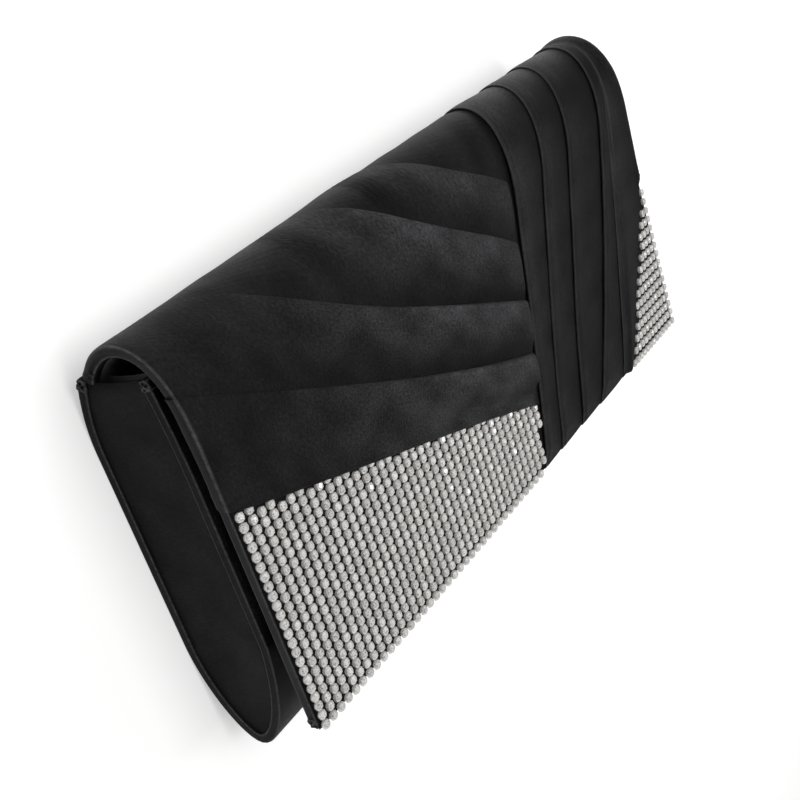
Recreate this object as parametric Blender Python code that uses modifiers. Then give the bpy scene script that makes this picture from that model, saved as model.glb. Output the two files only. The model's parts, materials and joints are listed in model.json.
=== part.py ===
"""Evening bag: a satin clutch with a pleated flap and two fields of crystals.

The bag lies on its back. +X runs along its length, +Y towards the fold over the mouth and +Z out
of the flap's face. The origin is the middle of the bag's footprint. The section in the Y-Z plane
is one path: down the front, round the bottom, up the back, over the arch and down the flap.
Every sheet of the bag is a stretch of that path, moved inwards by its depth.
"""
import math

import bmesh
import bpy
import numpy as np

MM = 0.001
LENGTH = 250 * MM
HALF = LENGTH / 2
HEIGHT = 130 * MM
BASE_Y = -HEIGHT / 2            # the bottom's lowest line
EDGE_Y = BASE_Y + 10.6 * MM     # the flap's free edge
MOUTH = (EDGE_Y + 110.4 * MM, 5.9 * MM)      # back fold line, top of the back panel
FRONT_TOP = (EDGE_Y + 109.9 * MM, 32.6 * MM)
ARCH_TOP = (HEIGHT / 2, 24 * MM)
FRONT_Z = 34.8 * MM             # front panel's face
FLAP_Z = 42 * MM                # face of the flap's plain satin base
FLAT_END_Y = EDGE_Y + 90 * MM   # the flap is flat from its edge to here

GAP = 0.3 * MM
HINGE_TRIM = 0.15 * MM
SATIN = 0.6 * MM
LINING = 0.4 * MM
BOARD = 1.6 * MM
FLAP_BOARD = 1.0 * MM
FOAM = 0.6 * MM
CARD = 0.8 * MM
BODY_LINING_DEPTH = 4.2 * MM
GUSSET_DEPTH = 3.2 * MM
GUSSET_SET_IN = 3.2 * MM
GUSSET_THICK = 1.4 * MM
FLAP_FOAM_DEPTH = SATIN + GAP
FLAP_BOARD_DEPTH = FLAP_FOAM_DEPTH + FOAM + GAP
FLAP_LINING_DEPTH = FLAP_BOARD_DEPTH + FLAP_BOARD + GAP

NET = 0.3 * MM
CRYSTAL = 1.7 * MM
TUCK_LOW = 0.5 * MM             # a tuck's thin side above the flap's face
TUCK_HIGH = 1.5 * MM            # its folded edge

SNAP_Y = EDGE_Y + 38 * MM
PRONG_GAP = 4 * MM              # each prong's distance from the snap's centre
PRONG_WIDE = 3 * MM
PRONG_THICK = 0.5 * MM
SLOT_CLEAR = 0.35 * MM

COLLECTION = "evening_bag"
PARTS = None
CUTTERS = None


def clear_scene():
    for item in list(bpy.data.objects):
        bpy.data.objects.remove(item, do_unlink=True)


def make_collection(name):
    collection = bpy.data.collections.new(name)
    bpy.context.scene.collection.children.link(collection)
    return collection


def material(name, colour, roughness, metallic=0.0):
    found = bpy.data.materials.get(name)
    if found:
        return found
    made = bpy.data.materials.new(name)
    made.use_nodes = True
    shader = made.node_tree.nodes["Principled BSDF"]
    shader.inputs["Base Color"].default_value = (*colour, 1)
    shader.inputs["Roughness"].default_value = roughness
    shader.inputs["Metallic"].default_value = metallic
    return made


def satin():
    return material("black_satin", (0.016, 0.016, 0.018), 0.45)


def lining_cloth():
    return material("lining_cloth", (0.02, 0.02, 0.022), 0.8)


def board_card():
    return material("board_card", (0.33, 0.29, 0.23), 0.9)


def foam_sheet():
    return material("foam_sheet", (0.75, 0.74, 0.7), 0.95)


def crystal_net():
    return material("crystal_net", (0.02, 0.02, 0.02), 0.7)


def crystal():
    return material("crystal", (0.85, 0.86, 0.88), 0.08)


def snap_steel():
    return material("snap_steel", (0.62, 0.6, 0.56), 0.25, 1.0)


def snap_magnet():
    return material("snap_magnet", (0.08, 0.08, 0.085), 0.6)


# ---------------------------------------------------------------- section path

def bezier(p0, p1, p2, p3, count):
    """Points of a cubic from p0 to p3, without p0."""
    points = []
    for k in range(1, count + 1):
        t = k / count
        weights = ((1 - t) ** 3, 3 * t * (1 - t) ** 2, 3 * t * t * (1 - t), t ** 3)
        points.append(tuple(sum(w * p[i] for w, p in zip(weights, (p0, p1, p2, p3))) for i in (0, 1)))
    return points


def straight(p0, p1, count):
    return bezier(p0, *(tuple(a + (b - a) * f for a, b in zip(p0, p1)) for f in (1 / 3, 2 / 3, 1)), count)


def at(y_mm, z_mm):
    """A point of the section, in millimetres from the flap's free edge and from the table."""
    return EDGE_Y + y_mm * MM, z_mm * MM


def section_path():
    """The whole section and the index of each named place along it."""
    path = [FRONT_TOP]
    marks = {"front_top": 0}
    keel_front = at(26, FRONT_Z / MM)
    keel_back = at(22, 0)
    keel = (BASE_Y, 15.5 * MM)
    path += bezier(FRONT_TOP, at(98, 34), at(88, FRONT_Z / MM), at(77, FRONT_Z / MM), 6)
    path += straight(path[-1], keel_front, 2)
    marks["keel_front"] = len(path) - 1
    path += bezier(keel_front, at(4, 31.5), (BASE_Y, 23 * MM), keel, 10)
    path += bezier(keel, (BASE_Y, 9 * MM), at(5, 0.6), keel_back, 10)
    marks["keel_back"] = len(path) - 1
    path += straight(keel_back, at(88, 0), 2)
    path += bezier(path[-1], at(98, 0.4), at(104, 3.2), MOUTH, 6)
    marks["mouth"] = len(path) - 1
    path += bezier(MOUTH, at(115, 9.5), (ARCH_TOP[0], 17 * MM), ARCH_TOP, 8)
    path += bezier(ARCH_TOP, (ARCH_TOP[0], 38 * MM), at(104, FLAP_Z / MM), (FLAT_END_Y, FLAP_Z), 15)
    marks["flap_fold"] = len(path) - 10
    marks["flat_start"] = len(path) - 1
    path.append((EDGE_Y, FLAP_Z))
    marks["edge"] = len(path) - 1
    return np.array(path), marks


PATH, MARKS = section_path()


def inwards(points, depth):
    """The path moved inwards by a depth, with mitred corners."""
    steps = np.diff(points, axis=0)
    steps /= np.linalg.norm(steps, axis=1)[:, None]
    before = np.vstack([steps[:1], steps])
    after = np.vstack([steps, steps[-1:]])
    mean = before + after
    mean /= np.linalg.norm(mean, axis=1)[:, None]
    outward = np.column_stack([mean[:, 1], -mean[:, 0]])
    mitre = np.sum(mean * before, axis=1)
    return points - outward * (depth / mitre)[:, None]


def stretch_of(start, end, depth, trim_start=0.0, trim_end=0.0):
    """The moved path from one named place to another, shortened at its ends."""
    points = inwards(PATH, depth)[MARKS[start]:MARKS[end] + 1]
    for trim, side in ((trim_start, 1), (trim_end, -1)):
        points = points[::side]
        while trim > 0:
            step = points[1] - points[0]
            size = np.linalg.norm(step)
            if trim < size:
                points = np.vstack([points[0] + step * trim / size, points[1:]])
                break
            points = points[1:]
            trim -= size
        points = points[::side]
    return points


# ------------------------------------------------------------- making objects

def place(mesh, name, finish, collection=None):
    item = bpy.data.objects.new(name, mesh)
    (collection or PARTS).objects.link(item)
    if finish:
        mesh.materials.append(finish)
    return item


def smooth(item, angle=35):
    item.data.shade_smooth()
    item.data.set_sharp_from_angle(angle=math.radians(angle))


def solidify(item, thickness, side=-1):
    mod = item.modifiers.new("wall", "SOLIDIFY")
    mod.thickness = thickness
    mod.offset = side
    mod.use_even_offset = True


def bent_sheet(name, points, thickness, half_length, finish, end_walls=False):
    """An open surface swept along X, given its thickness inwards. With end walls it is a pouch."""
    shape = bmesh.new()
    left = [shape.verts.new((-half_length, y, z)) for y, z in points]
    right = [shape.verts.new((half_length, y, z)) for y, z in points]
    for k in range(len(points) - 1):
        shape.faces.new((left[k], left[k + 1], right[k + 1], right[k]))
    if end_walls:
        shape.faces.new(left[::-1])
        shape.faces.new(right)
    mesh = bpy.data.meshes.new(name)
    shape.to_mesh(mesh)
    shape.free()
    item = place(mesh, name, finish)
    solidify(item, thickness)
    smooth(item)
    return item


def flat_outline(name, points, low_z, high_z, finish, collection=None):
    """A flat outline in X and Y, filled and given a thickness along Z."""
    curve = bpy.data.curves.new(name, "CURVE")
    curve.dimensions = "2D"
    curve.fill_mode = "BOTH"
    curve.extrude = (high_z - low_z) / 2
    line = curve.splines.new("POLY")
    line.points.add(len(points) - 1)
    for point, (x, y) in zip(line.points, points):
        point.co = (x, y, 0, 1)
    line.use_cyclic_u = True
    holder = bpy.data.objects.new(name + "_curve", curve)
    bpy.context.scene.collection.objects.link(holder)
    holder.location.z = (high_z + low_z) / 2
    bpy.context.view_layer.update()
    mesh = bpy.data.meshes.new_from_object(holder.evaluated_get(bpy.context.evaluated_depsgraph_get()))
    mesh.transform(holder.matrix_world)
    bpy.data.objects.remove(holder, do_unlink=True)
    shape = bmesh.new()
    shape.from_mesh(mesh)
    bmesh.ops.remove_doubles(shape, verts=shape.verts, dist=0.00001)
    shape.to_mesh(mesh)
    shape.free()
    mesh.materials.clear()
    return place(mesh, name, finish, collection)


def box(name, centre, size, finish=None, collection=None):
    shape = bmesh.new()
    bmesh.ops.create_cube(shape, size=1)
    for vert in shape.verts:
        vert.co = [c + v * s for c, v, s in zip(centre, vert.co, size)]
    mesh = bpy.data.meshes.new(name)
    shape.to_mesh(mesh)
    shape.free()
    return place(mesh, name, finish, collection)


def turned(name, profile, steps, finish, collection=None):
    """A closed profile of (radius, height) turned about a line through the snap's centre."""
    mesh = bpy.data.meshes.new(name)
    loop = [(r, 0, z) for r, z in profile]
    count = len(loop)
    mesh.from_pydata(loop, [(k, (k + 1) % count) for k in range(count)], [])
    item = place(mesh, name, finish, collection)
    item.location.y = SNAP_Y
    mod = item.modifiers.new("turn", "SCREW")
    mod.steps = steps
    mod.render_steps = steps
    mod.use_merge_vertices = True
    mod.merge_threshold = 0.00005
    mod.use_normal_calculate = False
    smooth(item)
    return item


def ring(inner, outer, low, high):
    """A ring's section, down its outer side first."""
    return [(outer, high), (outer, low), (inner, low), (inner, high)]


def disc(name, radius, low, high, steps, finish, collection=None):
    shape = bmesh.new()
    bmesh.ops.create_cone(shape, cap_ends=True, segments=steps, radius1=radius, radius2=radius,
                          depth=high - low)
    mesh = bpy.data.meshes.new(name)
    shape.to_mesh(mesh)
    shape.free()
    item = place(mesh, name, finish, collection)
    item.location = (0, SNAP_Y, (high + low) / 2)
    return item


def as_cutter(item):
    item.hide_render = True
    item.display_type = "WIRE"
    return item


def boolean(item, tool, operation):
    mod = item.modifiers.new(tool.name, "BOOLEAN")
    mod.operation = operation
    mod.object = tool
    mod.solver = "EXACT"


def cut(item, cutters):
    for tool in cutters:
        boolean(item, tool, "DIFFERENCE")


def prong_slots(name, low, high):
    """The two slots that a snap's prongs pass through."""
    slots = []
    for side in (-1, 1):
        centre = (0, SNAP_Y + side * PRONG_GAP, (low + high) / 2)
        size = (PRONG_WIDE + 2 * SLOT_CLEAR, PRONG_THICK + 2 * SLOT_CLEAR, high - low)
        slots.append(as_cutter(box(f"{name}_{'low' if side < 0 else 'high'}", centre, size,
                                   collection=CUTTERS)))
    return slots


def prongs(item, base_z, tip_z, foot_z):
    """Two legs from a plate to their folded feet, joined to the plate."""
    foot = 2.2 * MM
    for side in (-1, 1):
        leg_y = SNAP_Y + side * PRONG_GAP
        leg = box(f"{item.name}_leg{side}", (0, leg_y, (base_z + tip_z) / 2),
                  (PRONG_WIDE, PRONG_THICK, abs(tip_z - base_z)), collection=CUTTERS)
        toe = box(f"{item.name}_toe{side}", (0, leg_y + side * foot / 2, (tip_z + foot_z) / 2),
                  (PRONG_WIDE, foot + PRONG_THICK / 2, abs(tip_z - foot_z)), collection=CUTTERS)
        for tool in (leg, toe):
            boolean(item, as_cutter(tool), "UNION")


# ---------------------------------------------------------------------- body

def body_cover(slots):
    cover = bent_sheet("body_cover", stretch_of("front_top", "mouth", 0, trim_end=HINGE_TRIM),
                       SATIN, HALF, satin())
    cut(cover, slots)


def stiffeners(slots):
    """Card in the front and the back, and a thinner card that holds the bottom round."""
    depth = SATIN + GAP
    half = HALF - 1 * MM
    front = bent_sheet("front_board", stretch_of("front_top", "keel_front", depth, 1.5 * MM, GAP),
                       BOARD, half, board_card())
    cut(front, slots)
    bent_sheet("keel_stay", stretch_of("keel_front", "keel_back", depth), CARD, half, board_card())
    bent_sheet("back_board", stretch_of("keel_back", "mouth", depth, GAP, 1.5 * MM),
               BOARD, half, board_card())


def gussets():
    points = stretch_of("front_top", "mouth", GUSSET_DEPTH, 1 * MM, 1 * MM)
    for side, name in ((-1, "gusset_left"), (1, "gusset_right")):
        panel = flat_outline(name, [(-z, y) for y, z in points], -GUSSET_THICK / 2,
                             GUSSET_THICK / 2, satin())
        panel.rotation_euler = (0, math.pi / 2, 0)
        panel.location.x = side * (HALF - GUSSET_SET_IN - GUSSET_THICK / 2)


def lining_pouch():
    inner = HALF - GUSSET_SET_IN - GUSSET_THICK - GAP
    points = stretch_of("front_top", "mouth", BODY_LINING_DEPTH, 2 * MM, 2 * MM)
    bent_sheet("lining_pouch", points, LINING, inner, lining_cloth(), end_walls=True)


def slip_pocket():
    low_z = BODY_LINING_DEPTH + LINING + GAP
    low_y = EDGE_Y + 30 * MM
    high_y = EDGE_Y + 86 * MM
    centre = (0, (low_y + high_y) / 2, low_z + LINING / 2)
    box("slip_pocket", centre, (130 * MM, high_y - low_y, LINING), lining_cloth())


def snap_socket():
    """The magnetic socket on the front panel: a pressed shell, a ring magnet and a pronged plate."""
    outer = 9 * MM
    hole = 3 * MM
    low = FRONT_Z + GAP
    top = low + 2.1 * MM
    wall = 0.4 * MM
    shell = [(outer, top - 0.4 * MM), (outer, low), (outer - wall, low), (outer - wall, top - wall),
             (hole, top - wall), (hole, top), (outer - 0.4 * MM, top)]
    turned("socket_shell", shell, 32, snap_steel())
    turned("socket_magnet", ring(3.4 * MM, 8.2 * MM, low + 0.7 * MM, top - wall - 0.2 * MM), 28,
           snap_magnet())
    plate = disc("socket_prongs", 8.2 * MM, low + 0.05 * MM, low + 0.45 * MM, 28, snap_steel())
    board_inside = FRONT_Z - SATIN - GAP - BOARD
    washer_low = board_inside - GAP - 0.3 * MM
    prongs(plate, low + 0.2 * MM, washer_low - 0.5 * MM, washer_low - 0.2 * MM)
    washer = disc("socket_washer", 8 * MM, washer_low, washer_low + 0.3 * MM, 28, snap_steel())
    cut(washer, prong_slots("socket_washer_slot", washer_low - GAP, washer_low + 2 * GAP))


# --------------------------------------------------------------------- spine

def spine():
    ends = (HINGE_TRIM, HINGE_TRIM)
    bent_sheet("spine_cover", stretch_of("mouth", "flap_fold", 0, *ends), SATIN, HALF, satin())
    bent_sheet("spine_foam", stretch_of("mouth", "flap_fold", FLAP_FOAM_DEPTH, 1 * MM, 1 * MM),
               FOAM, HALF - 1 * MM, foam_sheet())
    bent_sheet("spine_lining", stretch_of("mouth", "flap_fold", FLAP_BOARD_DEPTH, *ends),
               LINING, HALF - 0.5 * MM, lining_cloth())


# ---------------------------------------------------------------------- flap

def band_left_x(y):
    """The pleated band's left edge, at a height on the flap."""
    return 11 * MM + 0.313 * (y - EDGE_Y)


def band_right_x(y):
    """The band's right edge, which runs out over the flap's own edge."""
    return 84.5 * MM + 0.68 * (y - EDGE_Y)


def mesh_top_y(x):
    """The top edge of the left field of crystals, square to the band."""
    return EDGE_Y + 22.3 * MM - 0.342 * (x - 18 * MM)


def flap_sheets(slots):
    low = stretch_of("flat_start", "edge", 0)[-1][0]
    cover = stretch_of("flap_fold", "edge", 0, HINGE_TRIM)
    bent_sheet("flap_cover", cover, SATIN, HALF, satin())
    foam = bent_sheet("flap_foam", stretch_of("flap_fold", "edge", FLAP_FOAM_DEPTH, 1 * MM, 1 * MM),
                      FOAM, HALF - 1 * MM, foam_sheet())
    window = disc("foam_window", 8.5 * MM, FLAP_Z - 3 * MM, FLAP_Z + 1 * MM, 28, None, CUTTERS)
    cut(foam, [as_cutter(window)])
    top = FLAP_Z - FLAP_BOARD_DEPTH
    board = flat_outline("flap_board", rectangle(-HALF + 1 * MM, HALF - 1 * MM, low + 1 * MM,
                                                 FLAT_END_Y), top - FLAP_BOARD, top, board_card())
    lining = bent_sheet("flap_lining", stretch_of("flap_fold", "edge", FLAP_LINING_DEPTH, HINGE_TRIM,
                                                  0.5 * MM), LINING, HALF - 0.5 * MM, lining_cloth())
    cut(board, slots)
    cut(lining, slots)


def rectangle(x_low, x_high, y_low, y_high):
    return [(x_low, y_low), (x_high, y_low), (x_high, y_high), (x_low, y_high)]


def tuck(name, raised, thin, collection, finish=None):
    """A tapered box: its folded edge is raised, and its other edge is thin."""
    item = box(name, (0, 0, 0), (2, 2, 2), finish, collection)
    low = FLAP_Z + GAP
    for vert in item.data.vertices:
        line, high = (raised, TUCK_HIGH) if vert.co.x < 0 else (thin, TUCK_LOW)
        x, y = line[0] if vert.co.y < 0 else line[1]
        vert.co = (x, y, low + high if vert.co.z > 0 else low)
    return item


def joined_tucks(name, folds, outline):
    """Overlapping tucks joined into one cloth and trimmed to its outline."""
    cloth = tuck(name, *folds[0], PARTS, satin())
    for k, fold in enumerate(folds[1:]):
        boolean(cloth, as_cutter(tuck(f"{name}_fold{k}", *fold, CUTTERS)), "UNION")
    trim = flat_outline(f"{name}_outline", outline, FLAP_Z - 5 * MM, FLAP_Z + 9 * MM, None, CUTTERS)
    boolean(cloth, as_cutter(trim), "INTERSECT")


def pleated_band():
    """Five steep pleats that fan out from the flap's edge to the fold."""
    top = FLAT_END_Y + 2 * MM
    low = EDGE_Y - 5 * MM
    high = top + 5 * MM
    folds = []
    edges = [(11, 0.313), (24.5, 0.384), (41, 0.42), (57, 0.56), (77, 0.4)]
    lines = [[((x + slope * (y - EDGE_Y) / MM) * MM, y) for y in (low, high)] for x, slope in edges]
    lines.append([(band_right_x(y) + 9 * MM, y) for y in (low, high)])
    for raised, thin in zip(lines, lines[1:]):
        wider = [(x + 1.5 * MM, y) for x, y in thin]
        folds.append((raised, wider))
    meets_edge = EDGE_Y + (HALF - band_right_x(EDGE_Y)) / 0.68
    outline = [(band_left_x(EDGE_Y), EDGE_Y), (band_right_x(EDGE_Y), EDGE_Y), (HALF, meets_edge),
               (HALF, top), (band_left_x(top), top)]
    joined_tucks("pleated_band", folds, outline)


def pleated_panel():
    """Four long tucks that fan out from the band to the flap's left side."""
    top = FLAT_END_Y + 2 * MM
    left = -HALF - 4 * MM
    right = band_left_x(top) + 6 * MM
    ends = [(69, 8), (106, 40), (146, 57), (175, 75), (185, 92)]
    folds = []
    for (low_left, low_right), (high_left, high_right) in zip(ends, ends[1:]):
        raised = [(right, EDGE_Y + high_right * MM), (left, EDGE_Y + high_left * MM)]
        thin = [(right, EDGE_Y + (low_right - 3) * MM), (left, EDGE_Y + (low_left - 3) * MM)]
        folds.append((raised, thin))
    clear = 2 * GAP
    corner_y = EDGE_Y + 22.3 * MM
    outline = [(-HALF, mesh_top_y(-HALF)), (band_left_x(corner_y) - clear, mesh_top_y(18 * MM)),
               (band_left_x(top) - clear, top), (-HALF, top)]
    joined_tucks("pleated_panel", folds, outline)


def crystal_fields():
    """Two flat fields, each a net with its set stones above it."""
    clear = 2 * GAP
    edge = 1 * MM
    corner_y = EDGE_Y + 22.3 * MM
    low = EDGE_Y + 0.3 * MM
    fields = {
        "left": [(-HALF + edge, low), (band_left_x(low) - clear, low),
                 (band_left_x(corner_y) - clear, mesh_top_y(18 * MM) - clear),
                 (-HALF + edge, mesh_top_y(-HALF) - clear)],
        "right": [(band_right_x(low) + 2 * clear, low), (HALF, low),
                  (HALF, EDGE_Y + (HALF - band_right_x(EDGE_Y)) / 0.68 - 2 * clear)],
    }
    base = FLAP_Z + GAP
    for side, outline in fields.items():
        flat_outline(f"crystal_net_{side}", outline, base, base + NET, crystal_net())
        stones = base + NET + GAP
        flat_outline(f"crystals_{side}", outline, stones, stones + CRYSTAL, crystal())


def snap_stud():
    """The magnetic stud on the flap's inner side, with its pin, prongs and washer."""
    high = FLAP_Z - FLAP_LINING_DEPTH - LINING - GAP
    plate = disc("stud", 7.5 * MM, high - 0.7 * MM, high, 28, snap_steel())
    pin = disc("stud_pin", 2 * MM, high - 2.1 * MM, high - 0.3 * MM, 20, None, CUTTERS)
    boolean(plate, as_cutter(pin), "UNION")
    washer_low = FLAP_Z - FLAP_BOARD_DEPTH + 0.2 * MM
    foot_low = washer_low + 0.25 * MM + 0.2 * MM
    prongs(plate, high - 0.2 * MM, foot_low + 0.3 * MM, foot_low)
    washer = disc("stud_washer", 7.5 * MM, washer_low, washer_low + 0.25 * MM, 28, snap_steel())
    cut(washer, prong_slots("stud_washer_slot", washer_low - GAP, washer_low + 2 * GAP))


def build():
    global PARTS, CUTTERS
    clear_scene()
    PARTS = make_collection(COLLECTION)
    CUTTERS = make_collection(COLLECTION + "_cutters")
    front_slots = prong_slots("front_slot", FRONT_Z - 5 * MM, FRONT_Z + 1 * MM)
    flap_slots = prong_slots("flap_slot", FLAP_Z - 5 * MM, FLAP_Z - FLAP_BOARD_DEPTH + GAP)
    body_cover(front_slots)
    stiffeners(front_slots)
    gussets()
    lining_pouch()
    slip_pocket()
    snap_socket()
    spine()
    flap_sheets(flap_slots)
    pleated_panel()
    pleated_band()
    crystal_fields()
    snap_stud()
    bpy.context.view_layer.update()


build()
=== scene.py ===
"""Looks of a pleated satin evening bag: satin, folded tucks, crystals, lining and a magnetic snap."""
import json
import math

import bmesh
import bpy
import numpy as np
from mathutils import Matrix, Vector


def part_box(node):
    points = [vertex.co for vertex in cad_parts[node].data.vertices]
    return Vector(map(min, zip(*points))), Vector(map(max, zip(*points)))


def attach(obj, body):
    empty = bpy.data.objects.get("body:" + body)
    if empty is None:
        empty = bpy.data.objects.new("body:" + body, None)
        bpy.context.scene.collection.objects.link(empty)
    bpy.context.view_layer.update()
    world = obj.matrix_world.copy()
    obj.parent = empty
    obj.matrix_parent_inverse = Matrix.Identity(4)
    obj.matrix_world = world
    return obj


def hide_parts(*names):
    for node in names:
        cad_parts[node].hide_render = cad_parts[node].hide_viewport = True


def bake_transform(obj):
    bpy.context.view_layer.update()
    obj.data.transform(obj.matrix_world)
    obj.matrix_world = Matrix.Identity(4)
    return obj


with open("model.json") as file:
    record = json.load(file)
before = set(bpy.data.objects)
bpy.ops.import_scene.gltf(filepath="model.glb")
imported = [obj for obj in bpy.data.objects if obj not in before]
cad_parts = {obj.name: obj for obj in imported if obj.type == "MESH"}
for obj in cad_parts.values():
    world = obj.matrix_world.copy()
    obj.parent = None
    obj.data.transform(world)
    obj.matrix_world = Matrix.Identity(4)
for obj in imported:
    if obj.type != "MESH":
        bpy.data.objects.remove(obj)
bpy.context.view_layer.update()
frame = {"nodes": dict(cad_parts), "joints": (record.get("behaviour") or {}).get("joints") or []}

bl_info = {
    "name": "Pleated evening bag",
    "version": (1, 0, 0),
    "blender": (4, 5, 0),
    "location": "View3D > Sidebar > Evening bag",
    "description": "Makes the cloth, crystals and snap of a pleated satin evening bag",
    "category": "Object",
}

MM = 0.001
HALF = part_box("flap_cover")[1].x
EDGE_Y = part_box("flap_cover")[0].y
FLAP_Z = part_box("flap_cover")[1].z
FRONT_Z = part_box("body_cover")[1].z
BASE_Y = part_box("body_cover")[0].y
TOP_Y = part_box("spine_cover")[1].y
JOINTS = {joint["name"]: joint for joint in frame["joints"]}
MOUTH = tuple(JOINTS["spine_hinge"]["pos_m"][1:])
MOUTH_INSIDE = (MOUTH[0] - 0.6 * MM, MOUTH[1] + 2.4 * MM)    # where the flap's cloth comes out
CORE = 1.55 * MM        # half the thickness of a covered board
TURN = 5 * MM           # cloth turned in past a covered board's edge
TURNED_END = HALF + math.pi * CORE / 2 + TURN    # how far out cloth reaches before it is turned in
UNDERLAP = 6 * MM       # how far a fold's cloth runs on under its neighbour
MOUTH_TAPER = 0.016     # share of its width that the flap's cloth loses at the mouth
PLAIN_PAINTED_LIGHT = 0.16      # painted brightness of plain cloth, the base of the light and shade painted into the satin
MAPPED = "cloth"        # the UV map that a weave follows, in metres along the threads


# ------------------------------------------------------------------ section

def at(y_mm, z_mm):
    """A point of the bag's section, in millimetres from the flap's free edge and the table."""
    return EDGE_Y + y_mm * MM, z_mm * MM


def bezier(p0, p1, p2, p3, count=60):
    """Points along a curve that leaves p0 towards p1 and reaches p3 from p2."""
    t = np.linspace(0, 1, count)[:, None]
    p0, p1, p2, p3 = (np.array(p, float) for p in (p0, p1, p2, p3))
    return (1 - t) ** 3 * p0 + 3 * t * (1 - t) ** 2 * p1 + 3 * t * t * (1 - t) * p2 + t ** 3 * p3


def straight(p0, p1, count=60):
    """Points along a straight line."""
    t = np.linspace(0, 1, count)[:, None]
    return np.array(p0, float) * (1 - t) + np.array(p1, float) * t


class Section:
    """A smooth line in the Y-Z plane. Its outward side is to the left of its direction."""

    def __init__(self, parts, softness=1.5 * MM):
        raw = np.vstack([part[1:] if k else part for k, part in enumerate(parts)])
        length = np.r_[0, np.cumsum(np.linalg.norm(np.diff(raw, axis=0), axis=1))]
        keep = np.r_[True, np.diff(length) > 1e-7]
        raw, length = raw[keep], length[keep]
        step = 0.25 * MM
        self.length = length[-1]
        self.s = np.linspace(0, self.length, int(self.length / step) + 1)
        self.p = np.column_stack([np.interp(self.s, length, raw[:, i]) for i in (0, 1)])
        tangent = np.gradient(self.p, self.s, axis=0)
        window = max(1, int(softness / step))
        kernel = np.ones(2 * window + 1) / (2 * window + 1)
        padded = np.pad(tangent, ((window, window), (0, 0)), mode="edge")
        self.t = np.column_stack([np.convolve(padded[:, i], kernel, "valid") for i in (0, 1)])
        self.t /= np.linalg.norm(self.t, axis=1)[:, None]

    def at(self, s):
        """Points, tangents and outward normals at distances along the line."""
        inside = np.clip(s, 0, self.length)
        p = np.stack([np.interp(inside, self.s, self.p[:, i]) for i in (0, 1)], -1)
        t = np.stack([np.interp(inside, self.s, self.t[:, i]) for i in (0, 1)], -1)
        t /= np.linalg.norm(t, axis=-1)[..., None]
        p = p + t * (s - inside)[..., None]
        return p, t, np.stack([-t[..., 1], t[..., 0]], -1)


def flap_section():
    """From the flap's free edge, over the arch, to the top of the back panel."""
    flat_end = at(90, FLAP_Z / MM)
    top = (TOP_Y, 24 * MM)
    return Section([
        straight((EDGE_Y, FLAP_Z), flat_end, 120),
        bezier(flat_end, at(104, FLAP_Z / MM), (TOP_Y, 38 * MM), top),
        bezier(top, (TOP_Y, 17 * MM), (MOUTH[0] + 3.6 * MM, MOUTH[1] + 5.5 * MM), MOUTH_INSIDE),
        straight(MOUTH_INSIDE, (MOUTH_INSIDE[0] - 2.4 * MM, MOUTH_INSIDE[1] - 1.6 * MM), 12),
    ])


def body_section():
    """From the top of the back panel, down the back, round the bottom and up the front."""
    keel = (BASE_Y, 15.5 * MM)
    front_low = at(26, FRONT_Z / MM)
    front_high = at(77, FRONT_Z / MM)
    return Section([
        bezier(MOUTH, at(104, 3.2), at(98, 0.4), at(88, 0)),
        straight(at(88, 0), at(22, 0)),
        bezier(at(22, 0), at(5, 0.6), (BASE_Y, 9 * MM), keel),
        bezier(keel, (BASE_Y, 23 * MM), at(4, 31.5), front_low),
        straight(front_low, front_high),
        bezier(front_high, at(88, FRONT_Z / MM), at(98, 34), at(109.9, 32.6)),
    ])


FLAP = flap_section()
BODY = body_section()
MOUTH_S = FLAP.length


def squared(angle):
    """How much further out a covered edge stands at its two corners than a round one, as a share
    of the round one's radius."""
    c, s = np.abs(np.cos(angle)), np.abs(np.sin(angle))
    return 1 / (c ** 8 + s ** 8) ** 0.125 - 1


def covered(section, x, s, lift=0.0):
    """Points on the cloth that covers a board. Past the board's edges the cloth turns round them
    and back along the inner side. The flap's cloth isn't turned in at the mouth but runs on, and
    is a little narrower there."""
    runs_on = section is FLAP
    x, s, lift = np.broadcast_arrays(*(np.asarray(v, float) for v in (x, s, lift)))
    side = np.sign(x)
    over_x = np.maximum(np.abs(x) - (HALF - CORE), 0)
    phi = np.clip(over_x / CORE, 0, math.pi)
    past_x = np.maximum(over_x - math.pi * CORE, 0)
    middle_x = side * np.minimum(np.abs(x), HALF - CORE) - side * past_x
    low = CORE
    high = math.inf if runs_on else section.length - CORE
    over_s = np.maximum(low - s, 0) + np.maximum(s - high, 0)
    way = np.where(s < low, -1.0, 1.0)
    psi = np.clip(over_s / CORE, 0, math.pi)
    past_s = np.maximum(over_s - math.pi * CORE, 0)
    middle_s = np.clip(s, low, high) - way * past_s
    p, t, n = section.at(middle_s)
    _, t_edge, n_edge = section.at(np.clip(s, low, high))
    n_now = np.where((past_s > 0)[..., None], n, n_edge)
    t_now = np.where((past_s > 0)[..., None], t, t_edge)
    out = lift + CORE + CORE * (squared(phi) + squared(psi))
    swing = np.cos(psi)[..., None] * n_now + (way * np.sin(psi))[..., None] * t_now
    centre = p - n * CORE
    yz = centre + (np.cos(phi) * out)[..., None] * swing
    across_x = middle_x + side * np.sin(phi) * out
    if runs_on:
        across_x = across_x * (1 - MOUTH_TAPER * eased((s - section.length + 6 * MM) / (6 * MM)))
    return np.stack([across_x, yz[..., 0], yz[..., 1]], -1)


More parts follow.
